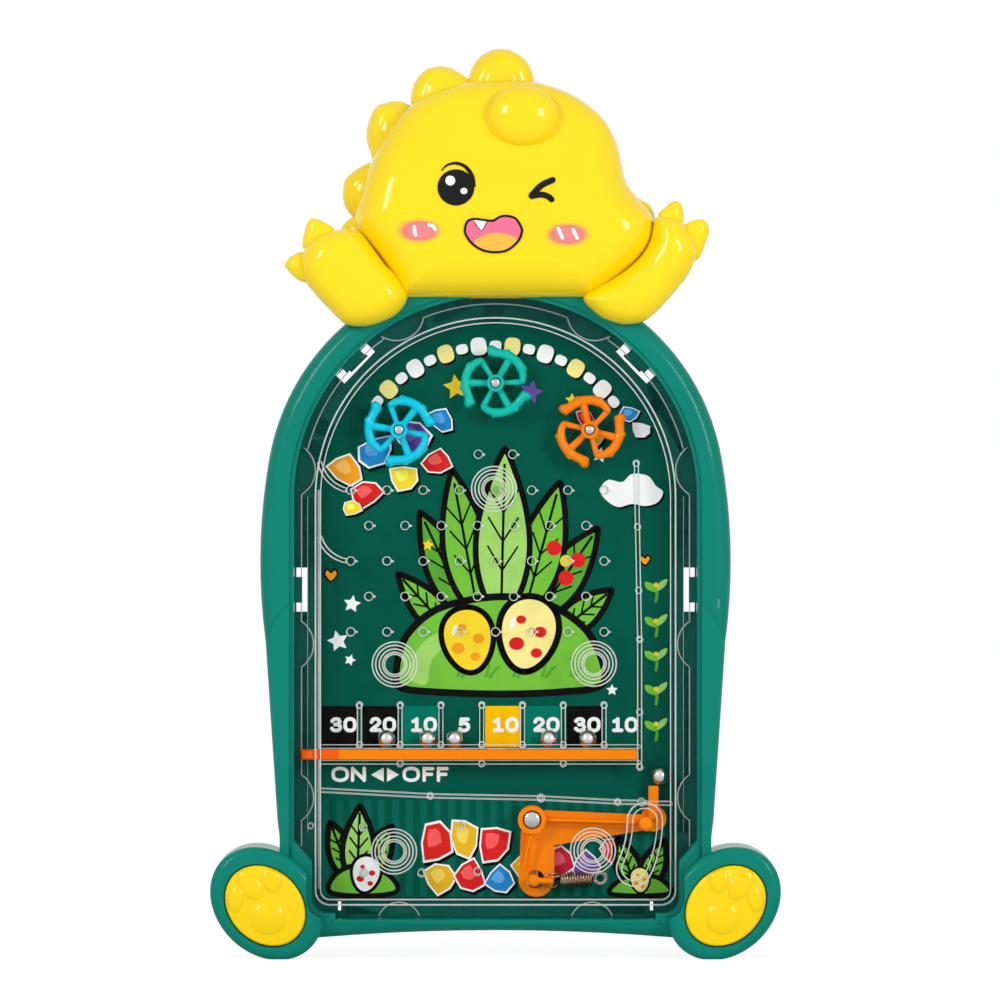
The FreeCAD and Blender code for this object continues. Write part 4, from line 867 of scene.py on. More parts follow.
GLYPHS = {
    "0": [(((0.5, 0), (0.86, 0.2), (0.86, 0.8), (0.5, 1), (0.14, 0.8), (0.14, 0.2)), True)],
    "1": [(((0.22, 0.22), (0.45, 0.12), (0.52, 0.02)), False), (((0.52, 0.04), (0.52, 0.5),
           (0.52, 0.97)), False), (((0.2, 0.97), (0.5, 0.97), (0.84, 0.97)), False)],
    "2": [(((0.16, 0.27), (0.3, 0.05), (0.62, 0.02), (0.82, 0.26), (0.66, 0.52), (0.3, 0.8),
            (0.16, 0.95)), False), (((0.16, 0.96), (0.5, 0.96), (0.86, 0.96)), False)],
    "3": [(((0.16, 0.2), (0.36, 0.03), (0.68, 0.05), (0.78, 0.26), (0.62, 0.44), (0.4, 0.48)),
           False), (((0.4, 0.48), (0.7, 0.52), (0.84, 0.73), (0.68, 0.96), (0.34, 0.98),
                     (0.14, 0.82)), False)],
    "5": [(((0.8, 0.04), (0.5, 0.04), (0.24, 0.04)), False), (((0.24, 0.05), (0.22, 0.25),
           (0.2, 0.46)), False), (((0.2, 0.46), (0.5, 0.36), (0.82, 0.55), (0.76, 0.88),
                                   (0.42, 1.0), (0.14, 0.86)), False)],
    "O": [(((0.5, 0), (0.93, 0.2), (0.93, 0.8), (0.5, 1), (0.07, 0.8), (0.07, 0.2)), True)],
    "N": [(((0.1, 1), (0.1, 0.5), (0.1, 0)), False), (((0.1, 0.02), (0.5, 0.5), (0.9, 0.98)),
                                                      False),
          (((0.9, 1), (0.9, 0.5), (0.9, 0)), False)],
    "F": [(((0.14, 1), (0.14, 0.5), (0.14, 0)), False), (((0.14, 0.03), (0.5, 0.03),
                                                         (0.85, 0.03)), False),
          (((0.14, 0.5), (0.45, 0.5), (0.75, 0.5)), False)],
}
SCORES = ("30", "20", "10", "5", "10", "20", "30", "10")
SCORE_BOXES = ((322, 358, "black"), (363, 398, "black"), (403, 438, "green"), None,
               (485, 521, "yellow"), (525, 561, "green"), (567, 603, "black"), None)
SCORE_ROWS = (706, 747)
SCORE_FIRST, SCORE_PITCH, SCORE_TOP = 340.6, 40.9, 718.8
SCORE_SIZE, SCORE_GAP, SCORE_STROKE = (12.0, 11.8), 1.8, 1.85
SWITCH_LETTERS = (("O", 332.9, 14.6), ("N", 351.1, 14.6), ("O", 403.9, 14.6),
                  ("F", 422.5, 12.0), ("F", 436.8, 12.0))
SWITCH_TOP, SWITCH_HEIGHT, SWITCH_STROKE = 768.3, 12.0, 1.7
SWITCH_ARROWS = (((371.0, 774.7), (383.7, 767.6), (383.7, 781.8)),
                 ((399.0, 774.7), (387.0, 767.6), (387.0, 781.8)))


def write(sheet, text, x, y, width, height, gap, thick):
    """Draws generic numerals and switch marks from strokes."""
    for letter in text:
        for stroke, closed in GLYPHS[letter]:
            points = np.asarray(stroke) * (width, height) + (x, y)
            sheet.line(points, thick, WHITE, 30, closed, 0.3)
        x += width + gap


def leaf(sheet, base, tip, width, colour):
    """A pointed leaf with a dark line round it, a midrib and side veins."""
    base, tip = np.array(base, float), np.array(tip, float)
    along = tip - base
    side = np.array([-along[1], along[0]]) / np.linalg.norm(along) * width
    t = np.linspace(0, 1, 28)
    swell = np.sin(np.pi * t ** 0.8) ** 0.85
    left = base + along * t[:, None] + side * swell[:, None]
    right = base + along * t[::-1, None] - side * swell[::-1, None]
    sheet.outlined(np.concatenate([left, right[1:-1]]), colour, 3.0)
    sheet.line((base + along * 0.06, base + along * 0.5, base + along * 0.9), 1.3, BLACK, 20)
    for share in (0.28, 0.45, 0.62):
        spot = base + along * share
        for sign in (-1, 1):
            end = spot + along * 0.14 + sign * side * 0.55
            sheet.line((spot, (spot + end) / 2, end), 0.95, BLACK, 10, False, 0)


def egg(sheet, x, y, size, shell, spot, tilt):
    """A spotted egg, narrower at the top, with a bright patch."""
    t = full_turn(60)
    across, down = size * 0.78 * np.sin(t) * (1 + 0.16 * np.cos(t)), -size * np.cos(t)
    sheet.outlined(turned(x, y, across, down, tilt), shell, size * 0.085, True)
    for dx, dy, r in ((-0.3, 0.25, 0.2), (0.32, -0.05, 0.17), (-0.18, -0.38, 0.13),
                      (0.22, 0.5, 0.15)):
        sheet.fill(ellipse(x + dx * size, y + dy * size, r * size, r * size * 0.85, 24), spot)
    sheet.fill(ellipse(x - 0.4 * size, y - 0.3 * size, size * 0.07, size * 0.16, 20, 20),
               WHITE, 0)


def pebble(sheet, x, y, rx, ry, colour, tilt, seed):
    """A faceted stone: an uneven seven-sided shape with a white edge and a lighter face."""
    t = np.arange(7) * 2 * np.pi / 7 + 0.3 * seed
    r = 1 + 0.16 * np.sin(3.1 * t + seed)
    middle = np.array([x, y])
    corners = turned(x, y, rx * r * np.cos(t), ry * r * np.sin(t), tilt) - middle
    sheet.fill(middle + corners * 1.2 + (1.5, 2.0), BLACK)
    sheet.fill(middle + corners * 1.14, WHITE)
    sheet.fill(middle + corners, colour)
    sheet.fill(middle + corners * 0.5 - (rx * 0.14, ry * 0.2),
               tuple(min(1.0, v * 1.25 + 0.10) for v in colour))


def field_motif(sheet):
    """The large motif: a leafy plant on a round hill with spotted eggs."""
    hill = ((396, 676), (404, 640), (432, 612), (470, 600), (512, 597), (552, 606), (586, 630),
            (603, 664), (600, 686), (560, 692), (500, 694), (436, 692), (402, 688))
    for base, tip, width, colour in (((470, 618), (420, 512), 20, LIME_DARK),
                                     ((536, 618), (598, 528), 20, LIME_DARK),
                                     ((478, 614), (452, 470), 23, LIME),
                                     ((524, 614), (560, 482), 23, LIME),
                                     ((501, 618), (505, 448), 27, LIME_LIGHT),
                                     ((452, 634), (398, 574), 15, LIME),
                                     ((556, 634), (612, 590), 15, LIME)):
        leaf(sheet, base, tip, width, colour)
    sheet.outlined(hill, LIME, 3.6)
    sheet.blob(((408, 676), (420, 646), (446, 628), (470, 622), (452, 640), (432, 660),
                (426, 684)), LIME_LIGHT)
    for x in (458, 486, 514, 542, 570):
        sheet.line(((x, 676), (x + 3, 667), (x + 1, 658)), 1.6, LIME_DARK, 12)
        sheet.line(((x + 4, 677), (x + 9, 670), (x + 13, 667)), 1.6, LIME_DARK, 12, False, 0)
    egg(sheet, 468, 640, 33, SUN, AMBER, -8)
    egg(sheet, 528, 634, 38, SUN_LIGHT, RED, 9)
    for x, y in ((554, 548), (578, 560), (566, 578)):
        sheet.dot(x, y, 7.5, RED, 24)
    sheet.dot(566, 561, 6, SUN, 20)


def arch_motif(sheet):
    """A garland of rounded white pieces under the arch, each over its own dark shadow."""
    middle = np.array((495.5, 497.5))
    for i, degrees in enumerate(np.linspace(-51, 51, 17)):
        turn = math.radians(degrees)
        out = np.array((math.sin(turn), -math.cos(turn)))
        across = np.array((-out[1], out[0]))
        centre = middle + out * 152
        long, short = (9.0, 8.0) if i % 2 else (5.0, 6.0)
        t = full_turn(28)
        c, s = (np.sign(v) * np.abs(v) ** 0.7 for v in (np.cos(t), np.sin(t)))
        shape = centre + across * (short * c)[:, None] + out * (long * s)[:, None]
        sheet.fill(shape + (1.6, 2.2), BLACK)
        sheet.fill(shape, WHITE if i % 4 != 1 else SUN_LIGHT, 0.5)


def scatter_motifs(sheet):
    """Small stars, hearts, stones and sprouts round the large motif."""
    for x, y, r, turn, colour in ((352, 604, 9, 10, WHITE), (338, 641, 11, -14, WHITE),
                                  (350, 660, 6, 20, WHITE), (612, 690, 6, 0, WHITE),
                                  (600, 455, 8, 12, WHITE), (456, 387, 13, -8, SUN),
                                  (531, 392, 12, 14, PURPLE), (572, 400, 7, 0, SUN),
                                  (428, 545, 6, 8, SUN)):
        sheet.fill(star(x, y, r, turn), colour)
    for x, y, r in ((331, 575, 6.5), (645, 560, 5.5)):
        heart = ((x, y + r), (x - r, y - 0.1 * r), (x - 0.55 * r, y - 0.9 * r), (x, y - 0.4 * r),
                 (x + 0.55 * r, y - 0.9 * r), (x + r, y - 0.1 * r))
        sheet.outlined(heart, AMBER, 0.9)
    for i, (x, y, rx, ry, colour, tilt) in enumerate((
            (346, 470, 17, 13, AMBER, 30), (366, 494, 15, 12, RED, -20),
            (375, 452, 18, 13, BLUE, -35), (404, 478, 14, 12, SUN, 10),
            (412, 436, 19, 14, PURPLE, 25), (437, 462, 14, 11, RED, -12),
            (441, 420, 13, 10, BLUE, 40), (352, 508, 9, 7, SUN, 0))):
        pebble(sheet, x, y, rx, ry, colour, tilt, i)
    for i, (x, y) in enumerate(((629, 414), (641, 430), (585, 418), (596, 436))):
        pebble(sheet, x, y, 9, 7, (BLUE, WHITE, RED, SUN)[i], 20 * i, i + 2)
    cloud = ((606, 500), (600, 490), (608, 480), (622, 482), (632, 474), (648, 476), (656, 486),
             (663, 492), (658, 502), (646, 506), (632, 504), (618, 507))
    sheet.blob(np.array(cloud) + (1.5, 2), BLACK)
    sheet.blob(cloud, WHITE)
    for i, y in enumerate((592, 627, 661, 695, 731)):
        sheet.line(((656, y + 9), (657, y + 2), (656, y - 4)), 1.5, LIME_DARK, 10)
        sheet.blob(((656, y), (647, y - 3), (645, y - 10), (653, y - 8)), LIME, 24)
        sheet.blob(((657, y - 1), (665, y - 6), (667, y - 13), (659, y - 9)), LIME_LIGHT, 24, 0)
        sheet.dot(656, y - 7 + i % 2, 2.4, SUN, 14)


def score_motifs(sheet):
    """Score boxes with numerals, and the switch marks."""
    inks = {"black": BLACK, "green": BOX_GREEN, "yellow": BOX_YELLOW}
    top, bottom = SCORE_ROWS
    for left, right, ink in filter(None, SCORE_BOXES):
        sheet.fill(np.array(((left, top), (right, top), (right, bottom), (left, bottom))),
                   inks[ink])
    sheet.level += sheet.step
    for i, text in enumerate(SCORES):
        shift = {0: 1.5, 7: -3.5}.get(i, 0)
        middle = SCORE_FIRST + SCORE_PITCH * i + shift
        width = SCORE_SIZE[0] * len(text) + SCORE_GAP * (len(text) - 1)
        write(sheet, text, middle - width / 2 + 1.0, SCORE_TOP, *SCORE_SIZE, SCORE_GAP,
              SCORE_STROKE)
    for letter, x, width in SWITCH_LETTERS:
        write(sheet, letter, x, SWITCH_TOP, width, SWITCH_HEIGHT, 0.0, SWITCH_STROKE)
    for lift, arrow in zip((1, 0), SWITCH_ARROWS):
        sheet.fill(np.array(arrow), WHITE, lift)


def lower_motifs(sheet):
    """Stripes, ferns, eggs and stones in the lower compartment."""
    for x in np.arange(322, 670, 14.0):
        sheet.fill(np.array(((x, 800), (x + 7, 800), (x + 7, 896), (x, 896))), STRIPE_GREEN, 0)
    sheet.level += sheet.step
    for base, tip, width, colour in (((352, 880), (330, 822), 13, LIME),
                                     ((362, 880), (392, 826), 14, LIME),
                                     ((357, 884), (360, 806), 16, LIME_LIGHT)):
        leaf(sheet, base, tip, width, colour)
    sheet.outlined(((330, 892), (334, 876), (352, 866), (374, 868), (392, 878), (396, 892),
                    (362, 896)), LIME, 2.6)
    egg(sheet, 366, 874, 19, WHITE, RED, 8)
    for i, (x, y, rx, ry, colour, tilt) in enumerate((
            (436, 842, 15, 20, RED, 8), (464, 838, 13, 19, OCHRE, -12),
            (494, 844, 15, 18, RED, 20), (440, 878, 15, 14, OCHRE, 30),
            (470, 876, 14, 15, RED, -8), (500, 880, 13, 13, BLUE, 12),
            (560, 862, 13, 15, WINE, 0), (586, 866, 12, 14, PURPLE, 25),
            (526, 868, 12, 14, OCHRE, -20), (612, 850, 11, 12, RED, 14))):
        pebble(sheet, x, y, rx, ry, colour, tilt, i + 1)
    leaf(sheet, (636, 888), (618, 838), 12, LIME)
    leaf(sheet, (644, 888), (664, 840), 12, LIME)
    sheet.outlined(((612, 894), (620, 880), (640, 874), (662, 880), (668, 894)), LIME, 2.4)
    egg(sheet, 640, 880, 13, SUN_LIGHT, AMBER, -6)


class TOY_OT_card(bpy.types.Operator):
    """Prints the card behind the pins with a generic leafy design"""
    bl_idname = "toy.card"
    bl_label = "Card print"

    def execute(self, context):
        sheet = PrintSheet(*CARD_LEVELS)
        for motif in (field_motif, arch_motif, scatter_motifs, score_motifs, lower_motifs):
            sheet.level = CARD_LEVELS[0]
            motif(sheet)
        front = BACK_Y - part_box("playfield_card")[0].y
        picture = sheet.build("card_print", lambda x, z: np.full(len(x), front),
                              printed("card_ink", 0.35, 0.05))
        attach(picture, HOUSING)
        ground, nodes, links, shader, _ = new_material("card_ground")
        cloudy = object_noise(nodes, links, CLOUD_WAVES)
        links.new(ramp_between(nodes, links, cloudy, 0.3, 0.75, shade(DEEP_GREEN, 0.9),
                               shade(DEEP_GREEN, 1.1)), shader.inputs["Base Color"])
        shader.inputs["Roughness"].default_value = 0.32
        shader.inputs["Specular IOR Level"].default_value = 0.05
        dress("playfield_card", ground)
        return {"FINISHED"}


# Tray, cover and levers

PAD_PLACE = (74.5, 17.4)
PAD_RADII = (14.4, 11.7)
PAD_TILT = 45.0
PAD_DEPTHS = (25.15, 28.0)
PAD_DOME = 1.0
PAD_EDGE = 0.07
PAD_RELIEF = 0.9
PAD_BUMPS = (((1.0, -4.1), (5.7, 5.3), 0.0), ((-9.55, 2.3), (2.7, 4.6), -8.0),
             ((-4.9, 6.9), (5.7, 3.6), -56.0), ((2.2, 8.6), (3.5, 4.5), 10.0))


def pad_rise(x, z):
    """How far the pad's cushions stand out at places about the left pad's middle.

    Each cushion is one minus the fourth power of the distance from its middle, measured in its
    own radii, and the highest cushion counts.
    """
    rise = np.zeros(np.shape(x))
    for (cx, cz), (rx, rz), tilt in PAD_BUMPS:
        c, s = math.cos(math.radians(tilt)), math.sin(math.radians(tilt))
        across = (c * (x - cx) + s * (z - cz)) / rx
        up = (-s * (x - cx) + c * (z - cz)) / rz
        rise = np.maximum(rise, 1 - (across ** 2 + up ** 2) ** 2)
    return rise * PAD_RELIEF


def pad_rings(side):
    """Rings of a pad: a low dome with a rounded edge, its cushions and a flat back."""
    share = np.sin(np.linspace(0, np.pi / 2, 90))[1:]
    oval = ellipse(0.0, 0.0, *PAD_RADII, 220, -PAD_TILT)
    x, z = oval[:, 0] * share[:, None], oval[:, 1] * share[:, None]
    near = np.clip((share - 1 + PAD_EDGE) / PAD_EDGE, 0, 1)
    edge = PAD_EDGE * PAD_RADII[0] * (np.sqrt(1 - near ** 2) - 1)
    fade = np.clip((1 - share) / PAD_EDGE, 0, 1)
    dome = PAD_DEPTHS[1] + PAD_DOME * (1 - share ** 2) + edge
    depth = dome[:, None] + fade[:, None] * pad_rise(x, z)
    rings = np.stack([side * PAD_PLACE[0] - side * x, depth, PAD_PLACE[1] + z], -1)
    back = rings[-1] * (1, 0, 1) + (0, PAD_DEPTHS[0], 0)
    rings = np.concatenate([rings, back[None]])
    return np.stack([rings[..., 0] * MM, at_depth(rings[..., 1]), rings[..., 2] * MM], -1)


class TOY_OT_tray(bpy.types.Operator):
    """Dresses the tray and the screws, and builds the paw pads with their cushions"""
    bl_idname = "toy.tray"
    bl_label = "Tray"

    def execute(self, context):
        colours = context.scene.toy_plastics
        green = moulded_plastic("tray_plastic", colours.tray, 0.24, 0.12, 0.90, gloss=0.06)
        # Painted shade: the tray's pocket is darkened towards its floor.
        paint_pocket_shade(green, *POCKET_SHADE_DEPTHS, POCKET_SHADE_COLOUR)
        dress("tray", green)
        pads = moulded_plastic("pad_plastic", colours.pads, 0.2, 0.3, 0.96)
        for side, word in ((-1, "left"), (1, "right")):
            pad = skin_mesh(f"{word}_pad_skin", [closed_grid(pad_rings(side))], pads)
            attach(pad, HOUSING)
            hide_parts(f"{word}_paw_pad")
        screws = polished_steel("screw_steel", (0.45, 0.45, 0.46), 0.32)
        for node in ("head_screws", "arm_screws", "shell_screws"):
            dress(node, screws)
        return {"FINISHED"}


def circle(x, height, radius, count=28):
    """Points of a circle about a place."""
    return ellipse(x, height, radius, radius, count)


def box_outline(half, low, corner):
    """The cover's box: an arch, straight sides and rounded lower corners."""
    left = arc((-half + corner, low + corner), corner, np.linspace(180, 270, 10))
    top = arc((0.0, ARCH_HEIGHT), half, np.linspace(0, 180, 73))
    return np.concatenate([top, left, left[::-1] * (-1, 1)])


def bar_outline(start, end, half_width):
    """A straight strip with round ends."""
    start, end = np.array(start, float), np.array(end, float)
    heading = math.atan2(*(end - start)[::-1])
    t = np.linspace(-np.pi / 2, np.pi / 2, 9) + heading
    cap = half_width * np.stack([np.cos(t), np.sin(t)], -1)
    return np.concatenate([end + cap, start - cap])


def flange_outline():
    """The flange's edge: the arch and the sides, each with notches that bulge inwards.

    The edge runs down to 34 mm. Its points inside a notch's circle go on the circle's arc that
    faces the toy's middle, and in the arch's flanks a place 20 mm under the arch's middle.
    """
    h = np.linspace(ARCH_HEIGHT, 34, 141)[1:]
    left = np.stack([np.full(140, -FLANGE), h], -1)
    arch = arc((0.0, ARCH_HEIGHT), FLANGE, np.linspace(0, 180, 241))
    edge = np.concatenate([(left * (-1, 1))[::-1], arch, left])
    half = math.acos((NOTCH_RADIUS - NOTCH_DEPTH) / NOTCH_RADIUS)
    for x, height in NOTCH_PLACES:
        near = np.linalg.norm(edge - (x, height), axis=1) < NOTCH_RADIUS
        middle = math.atan2(ARCH_HEIGHT - 20 - height if abs(x) < 55 else 0.0, -x)
        sweep = np.linspace(middle + half, middle - half, np.count_nonzero(near))
        edge[near] = (x, height) + NOTCH_RADIUS * np.stack([np.cos(sweep), np.sin(sweep)], -1)
    return edge


def half_moon(x):
    """The notch in the flange's lower edge: an arc that bulges upwards."""
    return arc((x, MOON[1]), MOON[0], np.linspace(158, 22, 40))


def kidney_outline(half_width):
    """The slot of the launcher's peg: a ring sector with round ends."""
    angles = np.linspace(0, KIDNEY_SWEEP, 24)
    outer = arc(KIDNEY_PIVOT, KIDNEY_REACH + half_width, angles)
    inner = arc(KIDNEY_PIVOT, KIDNEY_REACH - half_width, angles)
    ends = [arc(arc(KIDNEY_PIVOT, KIDNEY_REACH, angle), half_width,
                np.linspace(first, first - 180, 13) + angle)
            for angle, first in ((0.0, 180.0), (KIDNEY_SWEEP, 0.0))]
    return np.concatenate([ends[0], outer[1:-1], ends[1], inner[::-1][1:-1]])


def pin_places():
    """Staggered rows of pins, and two pins above them."""
    places = []
    for row in range(5):
        columns = np.arange(-4, 3) + 0.5 if row % 2 else np.arange(-4, 4)
        places += [(i * PIN_PITCH, PIN_LOW + row * ROW_PITCH) for i in columns]
    return places + [(-5.6, 163.6), (5.6, 163.6)]


def bead(points, depth_mm, radius_mm, sectors=7, closed=True):
    """The skin of a thin round bead along a flat outline, its section turning about it."""
    path = np.asarray(points, float) * MM
    along = directions(path, closed)
    t = full_turn(sectors)
    r = radius_mm * MM
    side = r * np.cos(t)
    x = path[:, :1] - along[:, 1:2] * side
    z = path[:, 1:2] + along[:, :1] * side
    y = np.full_like(x, float(at_depth(depth_mm))) + r * np.sin(t)
    rings = np.stack([x, y, z], -1)
    if closed:
        return rings.reshape(-1, 3), grid_faces(len(path), sectors, True, True)
    return closed_grid(rings)


def beads_at(outline, places):
    """Beads along one outline, each with its own depth and radius."""
    return [bead(outline, depth, radius) for depth, radius in places]


def wall_outlines():
    """Outlines of the cover's inner walls: lane wall, bin dividers and chute."""
    walls = [bar_outline(a, b, WALL_HALF) for a, b in zip(LANE, LANE[1:])]
    walls += [bar_outline(*((x, h) for h in DIVIDER_ENDS), WALL_HALF) for x in DIVIDERS]
    return walls + [bar_outline(a, b, GUIDE_HALF) for a, b in zip(CHUTE, CHUTE[1:])]


def wall_posts():
    """Round posts of the inner walls: place and radius."""
    slim = [*LANE_POSTS, *((x, h) for x in DIVIDERS for h in DIVIDER_ENDS)]
    chute = [(*CHUTE[1], SLIM), (*CHUTE[2], STOUT), (*CHUTE[3], SLIM),
             (47.6, CHUTE[3][1], STOUT)]
    guides = [(x, 62.75, SLIM) for x in (-31.1, -4.5, 22.1)]
    return [(*place, SLIM) for place in slim] + chute + guides + [*LOW_POSTS]


def rib_curve(height, row):
    """A curved rib from the left wall to the first pin of a row.

    It is the curve of second degree whose middle lies at 36% of the way across and 64% of the
    way down.
    """
    end = np.array((-4 * PIN_PITCH - 1.6, PIN_LOW + row * ROW_PITCH))
    start = np.array((-57.4, height))
    middle = np.array((start[0] + 0.36 * (end[0] - start[0]),
                       end[1] + 0.36 * (start[1] - end[1])))
    t = np.linspace(0, 1, 24)[:, None]
    knee = 2 * middle - (start + end) / 2
    path = (1 - t) ** 2 * start + 2 * t * (1 - t) * knee + t ** 2 * end
    upper, lower = sides(path, np.full(24, WALL_HALF), False)
    return np.concatenate([upper, lower[::-1]])


WALL_HALF, GUIDE_HALF = 0.65, 0.6
SLIM, STOUT = 1.1, 1.3
FLANGE = 63.4
NOTCH_RADIUS = 9.03
NOTCH_DEPTH = 4.0
MOON = (7.2, 10.1)
NOTCH_PLACES = ((-68.5, 101.6), (68.5, 101.6), (-68.5, 51.5), (68.5, 51.5),
                (-67.9, 158.4), (67.9, 158.4), (-32.4, 209.8), (32.4, 209.8))
KIDNEY_PIVOT, KIDNEY_REACH, KIDNEY_SWEEP = (11.9, 44.5), 36.7, -25.4
PIN_PITCH, ROW_PITCH, PIN_LOW = 11.8, 11.55, 105.7
LANE = ((47.0, 61.6), (47.0, 103.2), (45.9, 160.7))
LANE_POSTS = ((47.0, 61.6), (47.0, 79.5), (47.0, 103.2), (46.7, 119.2), (46.3, 139.9),
              (45.9, 160.7))
DIVIDERS = tuple(-44.4 + 13.3 * i for i in range(7))
DIVIDER_ENDS = (68.8, 81.8)
CHUTE = ((-57.4, 54.1), (-21.3, 52.2), (14.8, 51.5), (39.8, 50.2), (57.0, 49.8))
LOW_POSTS = ((-60.3, 42.4, 1.0), (-43.2, 42.1, STOUT), (-43.0, 27.1, STOUT),
             (-24.1, 27.1, STOUT), (-5.8, 27.6, STOUT), (-11.2, 42.5, STOUT), (34.2, 25.4, 1.7))
RING_PLACES = ((-0.5, 152.3), (-32.8, 95.2), (32.0, 95.4), (-33.0, 34.3), (31.7, 34.6))
RING_RADII = (3.3, 3.95, 5.0, 6.2, 7.3)
# A painted glint beside each pin: its offset and radii
GLINT = (0.00175, -0.0001)
GLINT_RADII = (0.0005, 0.0002, 0.00042)

# Beads: the outline's own sizes, then the bead's depth and radius, all in mm, and for some
# the points round its section and whether it closes on itself
BOX_BEADS = (((57.0, 18.5, 3.0), 14.1, 0.20), ((58.6, 16.9, 4.6), 15.3, 0.27),
             ((57.2, 18.3, 3.2), 7.2, 0.12))
KIDNEY_BEADS = ((5.7, 16.3, 0.24), (3.95, 16.4, 0.20))
WALL_BEADS = ((6.6, 0.11), (13.8, 0.12))
POST_BEADS = ((6.6, 0.14), (13.6, 0.13))
RIB_BEADS = ((6.6, 0.17), (13.8, 0.17))
PIN_BEADS = ((1.38, 6.65, 0.14), (1.36, 13.5, 0.14))
HUB_BEAD = (1.45, 12.4, 0.22)
FLANGE_BEAD = (7.1, 0.22, 6, False)
GLEAM_BEAD = (13.1, 0.34, 10, False)
GUIDE_BEAD = (13.0, 0.14)
RIM_BEAD = (7.0, 0.1, 6, False)
MOON_BEAD = (7.1, 0.17, 6, False)
RIDGE_BEAD = (15.75, 0.24, 8)
GUIDE_HEIGHTS, GUIDE_ENDS = (68.35, 63.25), (-56.6, 46.6)
RIB_STARTS = ((161.0, 4), (136.7, 2))
GLEAM_LINE = ((-57.6, 152.0), (-57.6, 90.0), (-57.6, 22.0))
RIM_SIDE, RIM_HEIGHTS = 61.4, (150.0, 95.0, 40.0)
MOON_SIDE = 31.5
GLINT_DEPTH = 7.3


class TOY_OT_cover(bpy.types.Operator):
    """Dresses the clear cover and builds the bright beads along its edges and ridges"""
    bl_idname = "toy.cover"
    bl_label = "Clear cover"

    def execute(self, context):
        dress("clear_cover", clear_plastic("cover_plastic", 0.0, 0.4, 0.55))
        pins = clear_plastic("pin_plastic", 0.0, 0.6, 0.4)
        edge = clear_plastic("cover_edge_plastic", 0.56, 1.0, 0.1, (0.97, 1.0, 1.0))
        ridge = clear_plastic("cover_ridge_plastic", 0.52, 0.95, 0.1, (0.96, 0.95, 0.90))
        dress("cover_pins", pins)
        beads = [bead(box_outline(*box), depth, radius) for box, depth, radius in BOX_BEADS]
        # The gleam line is a pale rod along the box's left wall: a painted highlight.
        beads += [bead(flange_outline(), *FLANGE_BEAD), bead(GLEAM_LINE, *GLEAM_BEAD)]
        beads += [bead(kidney_outline(half), depth, radius)
                  for half, depth, radius in KIDNEY_BEADS]
        beads += [bead(bar_outline(*((x, h) for x in GUIDE_ENDS), GUIDE_HALF), *GUIDE_BEAD)
                  for h in GUIDE_HEIGHTS]
        for outline in wall_outlines():
            beads += beads_at(outline, WALL_BEADS)
        for x, height, radius in wall_posts():
            beads += beads_at(circle(x, height, radius - 0.1, 20), POST_BEADS)
        for height, row in RIB_STARTS:
            beads += beads_at(rib_curve(height, row), RIB_BEADS)
        for side in (-1, 1):
            beads += [bead([(side * RIM_SIDE, h) for h in RIM_HEIGHTS], *RIM_BEAD),
                      bead(half_moon(side * MOON_SIDE), *MOON_BEAD)]
        trim = skin_mesh("cover_edges", beads, edge)
        loops = [bead(circle(x, h, reach), depth, radius)
                 for reach, depth, radius in PIN_BEADS for x, h in pin_places()]
        loops += [bead(circle(x, h, HUB_BEAD[0]), *HUB_BEAD[1:]) for _, x, h, *_ in WHEELS]
        # Small pale balls beside each pin are painted glints, not parts of the pins.
        y = float(at_depth(GLINT_DEPTH))
        loops += [ball_skin((x * MM + GLINT[0], y, h * MM + GLINT[1]), GLINT_RADII, 8, 16)
                  for x, h in pin_places()]
        pin_rings_and_glints = skin_mesh("pin_edges", loops, edge)
        ridges = skin_mesh("pane_ridges", [bead(circle(x, h, r, 56), *RIDGE_BEAD)
                                           for x, h in RING_PLACES for r in RING_RADII], ridge)
        for piece in (trim, pin_rings_and_glints, ridges):
            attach(piece, HOUSING)
        return {"FINISHED"}


LEVER_RIBS = (((546, 820.6), (580, 821.6), (612, 822.6), (640, 823.6)),
              ((531.6, 834.5), (528.6, 846.0), (525.6, 858.0), (522.8, 873.5)))
HOOK = ((534.0, 881.8), (541, 882.0), (548, 882.2), (553.6, 882.4))
PEG = (645.6, 823.4)
LEVER_PIVOT = (532.1, 820.6)
LEVER_FRONT = 12.5
RIB_ROD = (0.1 * MM, 0.62 * MM, 14)
HOOK_ROD = (0.5 * MM, 1.1 * MM, 16)
KNOB_INWARD = 0.4 * MM
KNOB_RADII = (2.05 * MM, 1.3 * MM, 2.05 * MM)
PEG_RADII = (2.25 * MM, 1.1 * MM, 2.25 * MM)
POST_CAP_RADII = (1.5 * MM, 0.6 * MM, 1.5 * MM)
PIVOT_CAP_RADII = (2.95 * MM, 1.1 * MM, 2.95 * MM)
POST_CAP_DEPTH, PIVOT_CAP_DEPTH = 13.3, 12.7
TAB_MIDDLE = (44.9, 193.6)
TAB_HALF = (3.8, 0.62)
TAB_DEPTHS = (2.0, 3.0)


def lever_rod(pixels, inward, radius, sectors):
    """The skin of a rod through pixels, a little under the lever's front, with round ends.

    Its radius grows to the full one over the first 8% of its length, and falls so at its end.
    """
    path = at_pixels(catmull(pixels, 30, False))
    depth = np.full(30, float(at_depth(LEVER_FRONT)) + inward)
    share = np.linspace(0, 1, 30)
    near = np.clip(np.minimum(share, 1 - share) / 0.08, 0.0, 1)
    radii = radius * np.maximum(np.sqrt(1 - (1 - near) ** 2), 0.05)
    return tube_skin(np.stack([path[:, 0], depth, path[:, 1]], -1), radii, sectors)


